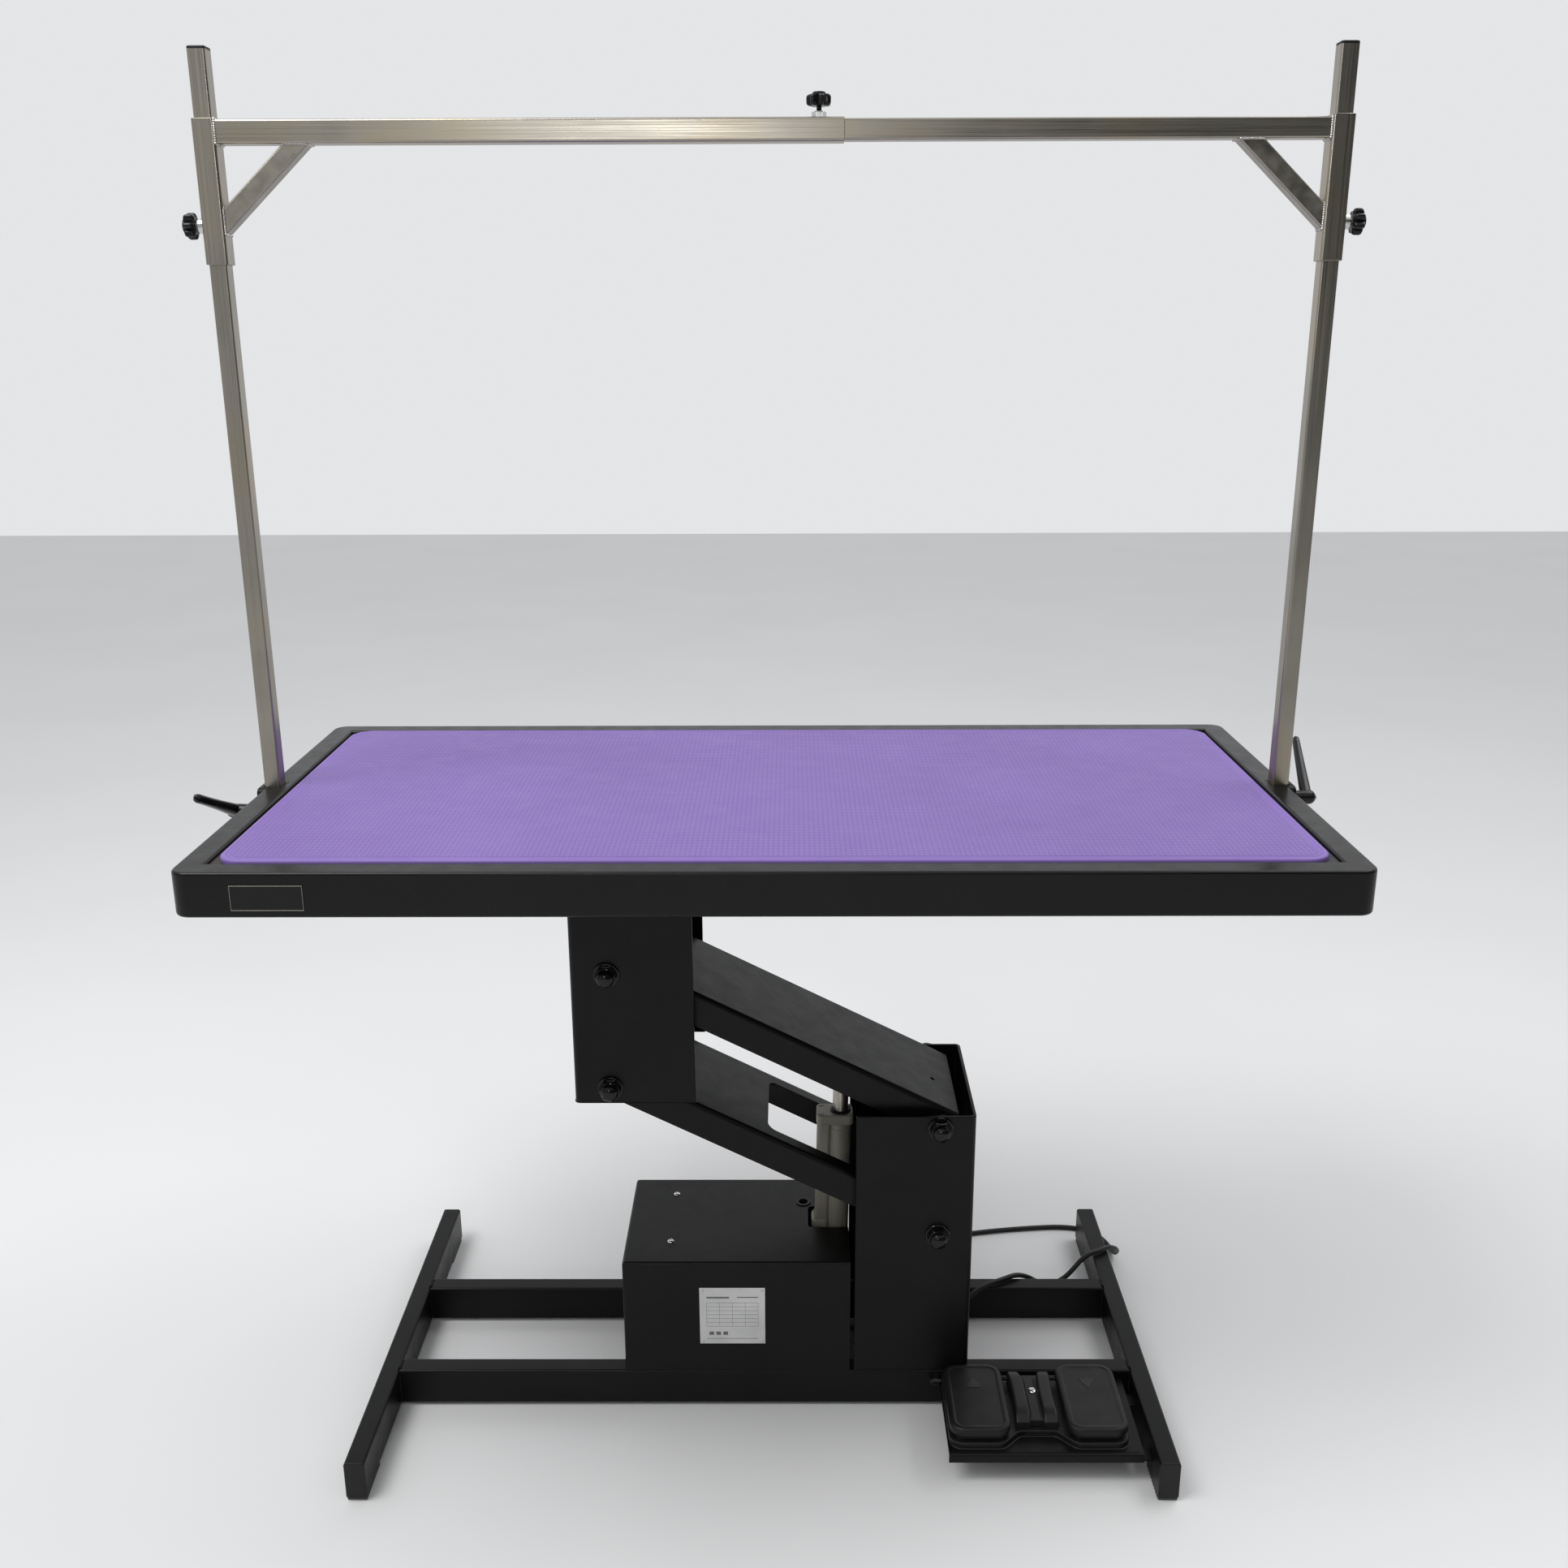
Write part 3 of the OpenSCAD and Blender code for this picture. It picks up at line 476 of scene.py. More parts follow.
def cut(piece, cutters):
    """Takes cutter meshes (bmesh, in millimetres) away from a piece."""
    piece.modifiers.clear()
    for bm in cutters:
        bmesh.ops.scale(bm, vec=(MM, MM, MM), verts=bm.verts)
        bmesh.ops.recalc_face_normals(bm, faces=bm.faces)
        data = bpy.data.meshes.new("cutter")
        bm.to_mesh(data)
        bm.free()
        tool = placed("cutter", data)
        modifier = piece.modifiers.new("cut", "BOOLEAN")
        modifier.operation = "DIFFERENCE"
        modifier.solver = "EXACT"
        modifier.object = tool
        bpy.context.view_layer.update()
        graph = bpy.context.evaluated_depsgraph_get()
        result = bpy.data.meshes.new_from_object(piece.evaluated_get(graph))
        piece.modifiers.clear()
        piece.data = result
        bpy.data.objects.remove(tool)
    mark_sharp(piece.data)
    even_normals(piece)


def mark_sharp(data):
    bm = bmesh.new()
    bm.from_mesh(data)
    bmesh.ops.remove_doubles(bm, verts=bm.verts, dist=1e-7)
    for edge in bm.edges:
        edge.smooth = True
    crease(bm)
    bm.to_mesh(data)
    bm.free()


def bead_into(bm, start, end, radius, pitch=2.4, lump=0.22):
    """A weld bead from start to end: a lumpy round sweep."""
    start, end = Vector(start), Vector(end)
    along = (end - start).normalized()
    side = along.orthogonal().normalized()
    up = along.cross(side)
    count = max(6, int((end - start).length / pitch * 4))
    loops = []
    for i in range(count + 1):
        t = i / count
        centre = start.lerp(end, t)
        swell = 1 + lump * sin(2 * PI * i / 4) + random.uniform(-0.08, 0.08)
        swell *= 0.55 if i in (0, count) else 1
        loops.append(
            [
                centre + radius * swell * (cos(a) * side + sin(a) * up)
                for a in (2 * PI * k / 8 for k in range(8))
            ]
        )
    skin_loops(bm, loops)


def beads(name, runs, radius, material, body):
    bm = bmesh.new()
    for start, end in runs:
        bead_into(bm, start, end, radius)
    solid(name, bm, material, body, sharp=60)


def smooth_path(points, per=6):
    """A Catmull-Rom line through the points."""
    pts = [Vector(p) for p in points]
    pts = [2 * pts[0] - pts[1]] + pts + [2 * pts[-1] - pts[-2]]
    out = []
    for i in range(1, len(pts) - 2):
        p0, p1, p2, p3 = pts[i - 1 : i + 3]
        for k in range(per):
            t = k / per
            out.append(
                0.5
                * (
                    2 * p1
                    + (p2 - p0) * t
                    + (2 * p0 - 5 * p1 + 4 * p2 - p3) * t * t
                    + (3 * p1 - p0 - 3 * p2 + p3) * t**3
                )
            )
    out.append(pts[-2])
    return out


# ---- Mains cord ------------------------------------------------------------

CORD_R = 3.5
CORD_ROUTE = [
    (132, 45, 80), (150, 45, 80), (168, 45, 76), (188, 45, 64), (208, 45, 51), (228, 46, 42),
    (247, 50, 41), (264, 57, 47), (280, 66, 55), (297, 75, 58.5), (317, 86, 58.5),
    (337, 97, 57.6), (354, 106, 49.5), (369, 112, 38), (384, 118, 29), (400, 124, 27),
    (415, 130, 32), (428, 136, 42), (440, 142, 52.5), (454, 149, 58.5), (469, 156, 59),
    (484, 166, 57), (495, 176, 49), (502, 189, 37), (505, 205, 23), (506, 223, 11),
    (505, 243, 4.6), (500, 263, 3.6), (490, 281, 3.6), (474, 293, 3.6), (455, 299, 3.6),
    (430, 301, 3.6), (400, 299, 3.6), (365, 295, 3.6), (325, 289, 3.6), (285, 281, 3.6),
    (256, 273, 3.6), (230, 267.6, 3.6), (212, 265.9, 3.6), (198.5, 265.2, 3.6),
]


def cord_line():
    """The cord's line: its route, the coil and the run to the plug, in millimetres."""
    ring = span("mains_coil")
    cx, cy = middle(ring[0]), middle(ring[1])
    outer = (ring[0][1] - ring[0][0]) / 2 - CORD_R
    pitch = 2 * CORD_R
    low = CORD_R + 0.1
    start, end, per_turn = 97, 180, 24

    def ease_in(t, a, b):
        t = min(1.0, max(0.0, (t - a) / (b - a)))
        return t * t * (3 - 2 * t)

    coil = []
    count = 5 * per_turn + round((end - start) / 360 * per_turn)
    for i in range(count + 1):
        turns = i / per_turn
        lap, part = int(turns), turns - int(turns)
        radius, z = outer, low
        if lap < 3:
            radius = outer - pitch * min(2, lap + ease_in(part, 0.72, 1.0) * (lap < 2))
            z = low + (pitch * ease_in(part, 0.44, 0.72) if lap == 2 else 0)
        else:
            radius = outer - pitch * max(0, 5 - lap - ease_in(part, 0.16, 0.44))
            z = low + pitch
        a = radians(start + 360 * turns)
        coil.append((cx + radius * cos(a), cy + radius * sin(a), z))
    plug = span("mains_plug")
    neck_x = middle(plug[0])
    tail = [(neck_x - 1.2, 211, 10.9), (neck_x - 0.4, 198, 12.2), (neck_x, 184, 13)]
    return smooth_path(CORD_ROUTE, 4)[:-1] + [Vector(p) for p in coil] + smooth_path(tail, 4)


def curve_of(name, points, radius, material, sides=4):
    data = bpy.data.curves.new(name, "CURVE")
    data.dimensions = "3D"
    data.bevel_depth = radius * MM
    data.bevel_resolution = sides
    data.use_fill_caps = True
    line = data.splines.new("POLY")
    line.points.add(len(points) - 1)
    for point, place in zip(line.points, points):
        point.co = (*(place * MM), 1)
    data.materials.append(material)
    return placed(name, data)


def add_cord():
    line = cord_line()
    cable = curve_of("mains_cord", line, CORD_R, CORD)
    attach(cable, "base")
    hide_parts("mains_cable", "mains_coil")
    plug = add_plug()


def add_plug():
    """A plain moulded plug: neck with relief rings, body and two pins."""
    x, _, z = span("mains_plug")
    mid_x, mid_z = middle(x), 13
    bm = bmesh.new()
    profile = [(3.9, 207.5), (4.4, 207), (4.6, 203)]
    for k in range(4):
        at = 201 - 5.5 * k
        profile += [(5.0, at), (5.0, at - 2.6), (4.2, at - 3.0), (4.2, at - 4.9)]
    profile += [(5.0, 178), (5.0, 176)]
    turn = Matrix.Translation((mid_x, 0, mid_z)) @ Matrix.Rotation(-PI / 2, 4, "X")
    lathe_into(bm, profile, 24, turn)
    loops = []
    for at, grow, round_r in (
        (177.5, -8, 5), (176, -5.5, 7), (172, -2.5, 9), (166, -1.2, 10), (158, -0.6, 11),
        (150, -2.2, 10), (146, -1.0, 10.5), (143.2, -0.5, 11), (142, -2, 9),
    ):
        ring = round_rect((x[0] - grow, x[1] + grow), (z[0] - grow * 0.75, z[1] + grow * 0.75), round_r)
        loops.append([put(p, at, 1) for p in ring])
    skin_loops(bm, loops)
    body = solid("plug_body", bm, CORD, "base", node="mains_plug")
    bm = bmesh.new()
    for px in (150.5, 169.5):
        turn = Matrix.Translation((px, 0, mid_z)) @ Matrix.Rotation(PI / 2, 4, "X")
        lathe_into(bm, [(2.4, -143), (2.4, -125), (2.0, -123.8), (1.2, -123.2)], 20, turn=turn)
    pins = solid("plug_pins", bm, ZINC, "base")
    return [body, pins]


def add_gland():
    """The cord's relief: a threaded body and a ribbed taper along the cord."""
    place = Matrix.Translation((0, 45, 80)) @ Matrix.Rotation(PI / 2, 4, "Y")
    bm = bmesh.new()
    lathe_into(bm, [(8, 25), (9, 26), (9, 86), (8.4, 87), (9, 88), (9, 91), (8, 92)], 36, turn=place)
    profile = [(7, 92)]
    for k in range(8):
        at, r = 93 + 4.6 * k, 7 - 0.31 * k
        profile += [(r, at), (r - 0.1, at + 2.4), (r - 1.1, at + 2.8), (r - 1.1, at + 4.2)]
    profile += [(4.4, 130.2), (4.2, 131.5), (3.6, 132)]
    lathe_into(bm, profile, 30, turn=place)
    solid("mains_gland", bm, CORD, "base")


# ---- More shapes -----------------------------------------------------------


def dress(node, material, body, width=0.6, seg=2):
    """A CAD node's own shape with flat faces merged and its edges rounded."""
    bm = bmesh.new()
    bm.from_mesh(frame["nodes"][node].data)
    bmesh.ops.scale(bm, vec=(1 / MM,) * 3, verts=bm.verts)
    bmesh.ops.remove_doubles(bm, verts=bm.verts, dist=0.001)
    bmesh.ops.dissolve_limit(bm, angle_limit=radians(1), verts=bm.verts, edges=bm.edges)
    ease(bm, width, seg)
    solid(node, bm, material, body)


def facing(place, direction):
    """A turn that sets +Z along a direction, at a place."""
    return Matrix.Translation(place) @ Vector(direction).to_track_quat("Z", "Y").to_matrix().to_4x4()


def hexagon(apothem, most):
    """A hexagon's radius by angle, its corners cut at the radius most."""

    def radius(a):
        part = (a % (PI / 3)) - PI / 6
        return min(most, apothem / cos(part))

    return radius


def acorn_nut_into(bm, place, direction):
    turn = facing(place, direction)
    lathe_into(bm, [(15.2, 0), (16, 0.6), (16, 2.2), (15.4, 2.9), (13.4, 3)], 48, turn=turn)
    rows = [
        (hexagon(11.6, 12.6), 3.0), (hexagon(12, 13.8), 3.8), (hexagon(12, 13.8), 9.6),
        (hexagon(11.9, 12.4), 10.9), (11.2, 11.3), (11.0, 13.4), (10.2, 15.6), (8.2, 17.6),
        (5.3, 19.0), (2.4, 19.7),
    ]
    lathe_into(bm, rows, 72, turn)


def add_nuts(node, pivots, body):
    y = span("lift_column")[1]
    bm = bmesh.new()
    for pivot in pivots:
        acorn_nut_into(bm, (pivot.x, y[0], pivot.z), (0, -1, 0))
        acorn_nut_into(bm, (pivot.x, y[1], pivot.z), (0, 1, 0))
    solid(node, bm, NUT, body, sharp=38)


def add_shafts(node, pivots, body):
    y = span("lift_column")[1]
    bm = bmesh.new()
    for pivot in pivots:
        turn = facing((pivot.x, 0, pivot.z), (0, 1, 0))
        profile = [(7, y[0] - 12), (8, y[0] - 11), (8, y[1] + 11), (7, y[1] + 12)]
        lathe_into(bm, profile, 40, turn=turn)
    solid(node, bm, ZINC, body)


def cross_screw(name, places, radius, height, direction, body):
    """Pan-head screws with a cross recess."""
    bm = bmesh.new()
    for place in places:
        turn = facing(place, direction)
        profile = [(radius * 0.9, -0.2), (radius, 0.3)]
        for k in range(1, 6):
            a = PI / 2 * k / 6
            profile.append((radius * cos(a), 0.3 + (height - 0.3) * sin(a)))
        profile.append((radius * 0.1, height))
        lathe_into(bm, profile, 36, turn=turn)
    piece = solid(name, bm, SCREW, body)
    cutters = []
    for place in places:
        for flip in (0, 1):
            tool = bmesh.new()
            a, b = radius * 0.55, radius * 0.12
            if flip:
                a, b = b, a
            slab_into(tool, (-a, a), (-b, b), (height * 0.35, height + 1), 0.02, 1)
            bmesh.ops.transform(tool, matrix=facing(place, direction), verts=tool.verts)
            cutters.append(tool)
    cut(piece, cutters)


def channel_outline(x, y, t, bend, open_low):
    """A C-shaped sheet section; open towards low or high first coordinate."""
    near, far = (x[0], x[1]) if open_low else (x[1], x[0])
    s = 1 if open_low else -1
    cx, inner, turn = far - s * bend, s * (bend - t), quarter()
    lo, hi, outer = y[0] + bend, y[1] - bend, s * bend
    points = [(near, y[0])]
    points += [(cx + outer * sin(a), lo - bend * cos(a)) for a in turn]
    points += [(cx + outer * cos(a), hi + bend * sin(a)) for a in turn]
    points += [(near, y[1]), (near, y[1] - t)]
    points += [(cx + inner * sin(a), hi + (bend - t) * cos(a)) for a in turn]
    points += [(cx + inner * cos(a), lo - (bend - t) * sin(a)) for a in turn]
    points.append((near, y[0] + t))
    return points


def quarter(steps=6):
    return [PI / 2 * k / steps for k in range(steps + 1)]


# ---- Base ------------------------------------------------------------------


def add_base():
    for side in ("left", "right"):
        x, y, z = span(side + "_skid")
        bar(side + "_skid", x, y, z, 1, 3.2, BLACK, "base", wall=2)
    left, right = span("left_skid"), span("right_skid")
    for side in ("front", "rear"):
        x, y, z = span(side + "_rail")
        rail = bar(side + "_rail", x, y, z, 0, 3.2, BLACK, "base", wall=2, edge=0.1)
        if side == "front":
            tool = bmesh.new()
            turn = facing((LEAD_HOLE[0], 0, LEAD_HOLE[1]), (0, 1, 0))
            lathe_into(tool, [(4, y[0] - 2), (4, y[1] + 2)], 24, turn)
            cut(rail, [tool])
    z = left[2]
    runs = []
    for x in (left[0][1], right[0][0]):
        for node in ("front_rail", "rear_rail"):
            y = span(node)[1]
            for face in y:
                runs.append(((x, face, z[0] + 4), (x, face, z[1] - 4)))
            runs.append(((x, y[0] + 4, z[1]), (x, y[1] - 4, z[1])))
    beads("base_welds", runs, 1.5, BLACK, "base")

    caps, pads = bmesh.new(), bmesh.new()
    y_caps = span("skid_end_caps")[1]
    for x in (left[0], right[0]):
        for face, out in ((left[1][0], y_caps[0]), (left[1][1], y_caps[1])):
            y = (min(face, out), max(face, out))
            low = face == left[1][0]
            loops = []
            s = 1 if low else -1
            for at, d in ((face, 0), (out + s * 0.9, 0), (out + s * 0.3, 0.5), (out, 1.4)):
                loops.append([put(p, at, 1) for p in round_rect(inset(x, d), inset(z, d), 3.2)])
            skin_loops(caps, loops)
            inner = (face, face + 12) if low else (face - 12, face)
            bar_into(caps, inset(x, 2.1), inner, inset(z, 2.1), 1, 1.2, None, 0.4)
            pad_y = (face, face + 60) if low else (face - 60, face)
            slab_into(pads, inset(x, 0.6), inset(pad_y, 0.5), (0, z[0]), 0.9)
            for k in range(9):
                at = pad_y[0] + 6 + 6 * k
                rib_x = (x[0] + 0.1, x[0] + 0.9)
                slab_into(pads, rib_x, (at - 1.2, at + 1.2), (0.8, z[0] - 0.6), 0.2, 1)
    solid("skid_end_caps", caps, PLASTIC, "base")
    solid("glide_pads", pads, GLIDE, "base")
    dress("deck_plate", BLACK, "base", 0.4)
    dress("actuator_foot_bracket", BLACK, "base", 0.5)


def add_column():
    x, y, z = span("lift_column")
    bm = bmesh.new()
    prism_into(bm, channel_outline(x, y, SHEET, SHEET_BEND, True), 2, z)
    ease(bm, 0.9, 3)
    solid("lift_column", bm, BLACK, "base")
    pivots = [joint_at("lift"), joint_at("upper_arm_pivot")]
    add_nuts("column_nuts", pivots, "base")
    add_shafts("column_shafts", pivots, "base")
    runs = [((x[1] - 6, y[0] - 0.2, z[0]), (x[0] + 4, y[0] - 0.2, z[0]))]
    runs.append(((x[1] - 6, y[1] + 0.2, z[0]), (x[0] + 4, y[1] + 0.2, z[0])))
    beads("column_welds", runs, 1.0, BLACK, "base")


def add_control_box():
    x, y, z = span("control_box_cover")
    bm = slab_into(bmesh.new(), (x[0], x[1] + 20), y, (z[0] - 20, z[1]), 4.5, 5)
    cover = solid("control_box_cover", bm, BLACK, "base")
    tools = [slab_into(bmesh.new(), (x[0] + 2, x[1] + 40), inset(y, 2), (z[0] - 40, z[1] - 2), 2.6, 3)]
    for xs, top in ((x[1], z[1] + 9), (x[0] - 9, z[0])):
        tools.append(slab_into(bmesh.new(), (xs, x[1] + 60), inset(y, -9), (z[0] - 60, top), 0.1, 1))
    notch = bmesh.new()
    bar_into(notch, (40, x[1] + 20), (-24, 26), (z[1] - 8, z[1] + 8), 2, 6, None, 0.1)
    tools.append(notch)
    grommet_x, grommet_y = (middle(p) for p in span("cable_grommet")[:2])
    turn = Matrix.Translation((grommet_x, grommet_y, 0))
    tools.append(lathe_into(bmesh.new(), [(9, z[1] - 8), (9, z[1] + 8)], 40, turn))
    cut(cover, tools)
    bm = bmesh.new()
    profile = [
        (6, -3), (6.6, -3.6), (9.8, -3.4), (10.4, -2.8), (10.2, -2.2), (9, -2), (9, 0.1),
        (10.2, 0.2), (10.4, 0.7), (9.6, 1.4), (7, 1.5), (6.2, 1.1),
    ]
    lathe_into(bm, profile, 40, Matrix.Translation((grommet_x, grommet_y, z[1])), ring=True)
    solid("cable_grommet", bm, PLASTIC, "base")
    screws = span("cover_screws")
    sx = middle(screws[0])
    places = [(sx, screws[1][0] + 5.2, z[1]), (sx, screws[1][1] - 5.2, z[1])]
    cross_screw("cover_screws", places, 4.4, 2.3, (0, 0, 1), "base")
    dress("control_unit", UNIT, "base", 1.2, 3)
    bm = bmesh.new()
    ux, uy, uz = span("control_unit")
    for k in range(8):
        at = uy[0] + 26 + 11 * k
        slab_into(bm, (ux[0] + 40, ux[1] - 40), (at - 1.2, at + 1.2), (uz[1] - 1, uz[1] + 2.4), 0.5, 2)
    solid("unit_fins", bm, UNIT, "base")


def add_rating_plate():
    """A blank data plate: a printed frame and rules, with no lettering."""
    x, y, z = span("rating_plate")
    slab("rating_plate", x, y, z, 0.25, FOIL, "base", seg=2)
    bm = bmesh.new()
    face = (y[0] - 0.12, y[0] + 0.1)

    def stroke(xs, zs):
        slab_into(bm, xs, face, zs, 0.04, 1)

    fx, fz = (x[0] + 9, x[1] - 9), (z[0] + 26, z[1] - 22)
    rows = 6
    for k in range(rows + 1):
        at = fz[0] + (fz[1] - fz[0]) * k / rows
        stroke(fx, (at - 0.16, at + 0.16))
    for part in (0, 0.25, 0.5, 0.75, 1):
        at = fx[0] + (fx[1] - fx[0]) * part
        stroke((at - 0.16, at + 0.16), fz)
    stroke((x[0] + 9, x[0] + 38), (z[1] - 15.5, z[1] - 13))
    stroke((x[1] - 36, x[1] - 9), (z[1] - 14.6, z[1] - 13.2))
    stroke((x[0] + 9, x[1] - 9), (z[0] + 7.2, z[0] + 7.8))
    for k in range(3):
        at = x[0] + 12 + 9 * k
        stroke((at, at + 6), (z[0] + 13, z[0] + 18))
    solid("plate_rules", bm, PRINT, "base")
    bm = bmesh.new()
    for rx in (x[0] + 4, x[1] - 4):
        for rz in (z[0] + 4, z[1] - 4):
            turn = facing((rx, y[0], rz), (0, -1, 0))
            profile = [(1.8, -0.1), (1.75, 0.3), (1.4, 0.7), (0.8, 0.92), (0.2, 1.0)]
            lathe_into(bm, profile, 24, turn)
    solid("plate_rivets", bm, ZINC, "base")


# ---- Foot pedal ------------------------------------------------------------


LEAD_ROUTE = [
    (211, -116, 48), (204, -115, 48), (199, -112, 45), (200, -109, 41), (205, -104, 38),
    (205, -92, 38), (204, -79, 38), (198, -62, 44), (178, -48, 54), (140, -40, 62),
    (100, -36, 68), (60, -32, 72), (25, -30, 74),
]


def add_pedal():
    tx, ty, _ = span("pedal_tray")
    tray_right, t = 446, 2.5
    top = 42
    bend = 3.5
    outline = [(ty[1], top), (ty[0] + bend, top)]
    outline += [(ty[0] + bend - bend * sin(a), top - bend + bend * cos(a)) for a in quarter()]
    outline += [(ty[0], top - 12), (ty[0] + t, top - 12)]
    outline += [(ty[0] + bend - 1 * cos(a), top - bend + 1 * sin(a)) for a in quarter()]
    outline += [(ty[1], top - t)]
    bm = bmesh.new()
    prism_into(bm, outline, 0, (tx[0], tray_right))
    ease(bm, 0.35, 2)
    slab_into(bm, (tray_right - t, tray_right), (ty[0] + 3, ty[1]), (top - 12, top - 0.3), 0.5, 2)
    for at in (ty[0] + 2.5, ty[1] - 40):
        slab_into(bm, (tray_right - 2, tx[1]), (at, at + 22), (top - 12, top - 12 + t), 0.5, 2)
    slab_into(bm, (tx[0] + 1, tray_right - 6), (ty[0] + 4.2, ty[0] + 5.2), (top, top + 0.5), 0.2, 1)
    solid("pedal_tray", bm, BLACK, "base")

    px, py, pz = span("pedal_base")
    w, mid = 75, middle(px)
    r, q = 16, 12
    step = py[0] + 22
    rise = step - (1 - sqrt(0.5)) * q - (py[0] + r - r * sqrt(0.5))
    near = px[0] + w - r + r * sqrt(0.5) + rise + q * sqrt(0.5)
    outline = arc((px[0] + r, py[0] + r), r, 180, 270, 8)
    outline += arc((px[0] + w - r, py[0] + r), r, 270, 315, 6)
    outline += arc((near, step - q), q, 135, 90, 6)
    outline += [(2 * mid - p[0], p[1]) for p in reversed(outline)]
    outline += arc((px[1] - r, py[1] - r), r, 0, 90, 8)
    outline += arc((px[0] + r, py[1] - r), r, 90, 180, 8)
    bm = bmesh.new()
    prism_into(bm, outline, 2, pz)
    ease(bm, 1.3, 3, 60)
    for at in (pz[0] + 2.2, pz[0] + 5.2):
        slab_into(bm, (mid - 15, mid + 15), (step - 0.5, step + 1), (at, at + 0.8), 0.2, 1)
    for lx in (px[0], px[1] - w):
        rows = ((6.8, -0.6), (7.2, 2.6), (7.8, 3.2), (9.4, 3.2), (9.6, -0.6))
        rows = [(d, pz[1] + h) for d, h in rows]
        tiers_into(bm, (lx, lx + w), (py[0], py[1] - 24), rows, 15, 8, ring=True)
    solid("pedal_base", bm, PLASTIC, "base")

    _, sy, sz = span("pedal_saddle")
    front = sy[0] + 12
    bm = bmesh.new()
    for side in (-1, 1):
        loops = []
        for k in range(17):
            t = k / 16
            at = front + (sy[1] - front) * t
            out = 25.2 + 1.8 * abs(2 * t - 1) ** 1.6
            inner = 8 + 3.4 * max(0, (t - 0.62) / 0.38) ** 1.5
            drop = 8 * max(0, (0.2 - t) / 0.2) ** 2 + 3 * max(0, (t - 0.85) / 0.15) ** 2
            xs = sorted((mid + side * inner, mid + side * out))
            loops.append([put(p, at, 1) for p in round_rect(xs, (sz[0], sz[1] - drop), 3.6, 5)])
        skin_loops(bm, loops)
    slab_into(bm, (mid - 12, mid + 12), (front + 3, sy[1] - 3), (sz[0], sz[0] + 10), 1.2)
    for k in (-1, 1):
        at = mid + 6 * k
        slab_into(bm, (at - 0.5, at + 0.5), (front + 8, sy[1] - 8), (sz[0] + 9.5, sz[0] + 11), 0.3, 1)
    solid("pedal_saddle", bm, PLASTIC, "base")
    head = span("pedal_screw")
    place = (middle(head[0]), middle(head[1]), head[2][1] - 2.5)
    cross_screw("pedal_screw", [place], 5.4, 2.5, (0, 0, 1), "base")
    dress("pedal_pins", BLACK, "base", 0.4)
    dress("pedal_switches", UNIT, "base", 0.5)

    for node, body, flip in (("pedal_up_pad", "up_pad", 1), ("pedal_down_pad", "down_pad", -1)):
        x, y, z = span(node)
        rows = [
            (3.5, z[0] + 7), (3.5, z[0]), (1.2, z[0]), (0.3, z[0] + 1.2), (0, z[0] + 2.6),
            (0, z[1] - 4.6), (0.4, z[1] - 2.8), (1.4, z[1] - 1.3), (3.0, z[1] - 0.4), (5.2, z[1]),
            (7.0, z[1] - 0.1), (8.2, z[1] - 0.7), (9.4, z[1] - 1.0),
        ]
        solid(node, tiers_into(bmesh.new(), x, y, rows, 18, 9), PAD, body)
        cx, cy, size = middle(x), y[1] - 38, 10.5
        corners = [(0, flip * size), (-size, -flip * size * 0.8), (size, -flip * size * 0.8)]
        if flip < 0:
            corners.reverse()
        outline = []
        for i, corner in enumerate(corners):
            here = Vector(corner)
            for other, steps in ((corners[i - 1], (0.12, 0.05)), (corners[(i + 1) % 3], (0.05, 0.12))):
                for s in steps:
                    p = here.lerp(Vector(other), s)
                    outline.append((cx + p.x, cy + p.y))
        bm = bmesh.new()
        prism_into(bm, outline, 2, (z[1] - 1.6, z[1] - 0.55))
        ease(bm, 0.25, 2)
        solid(node + "_arrow", bm, PAD_MARK, body)

    piece = curve_of("pedal_lead", smooth_path(LEAD_ROUTE, 5), 2.5, CORD)
    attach(piece, "base")
    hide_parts("pedal_lead")
    bm = bmesh.new()
    turn = facing((LEAD_HOLE[0], span("front_rail")[1][0], LEAD_HOLE[1]), (0, -1, 0))
    lathe_into(bm, [(2.7, 0), (5.4, 0), (5.8, 0.8), (5, 1.7), (3.1, 2.2)], 28, turn, ring=True)
    solid("lead_grommet", bm, PLASTIC, "base")


# ---- Arms and actuator -----------------------------------------------------

ARM_ANGLE = radians(27)


def arm_turn(pivot):
    return (
        Matrix.Translation((pivot.x, 0, pivot.z))
        @ Matrix.Rotation(ARM_ANGLE, 4, "Y")
        @ Matrix.Scale(-1, 4, (1, 0, 0))
    )


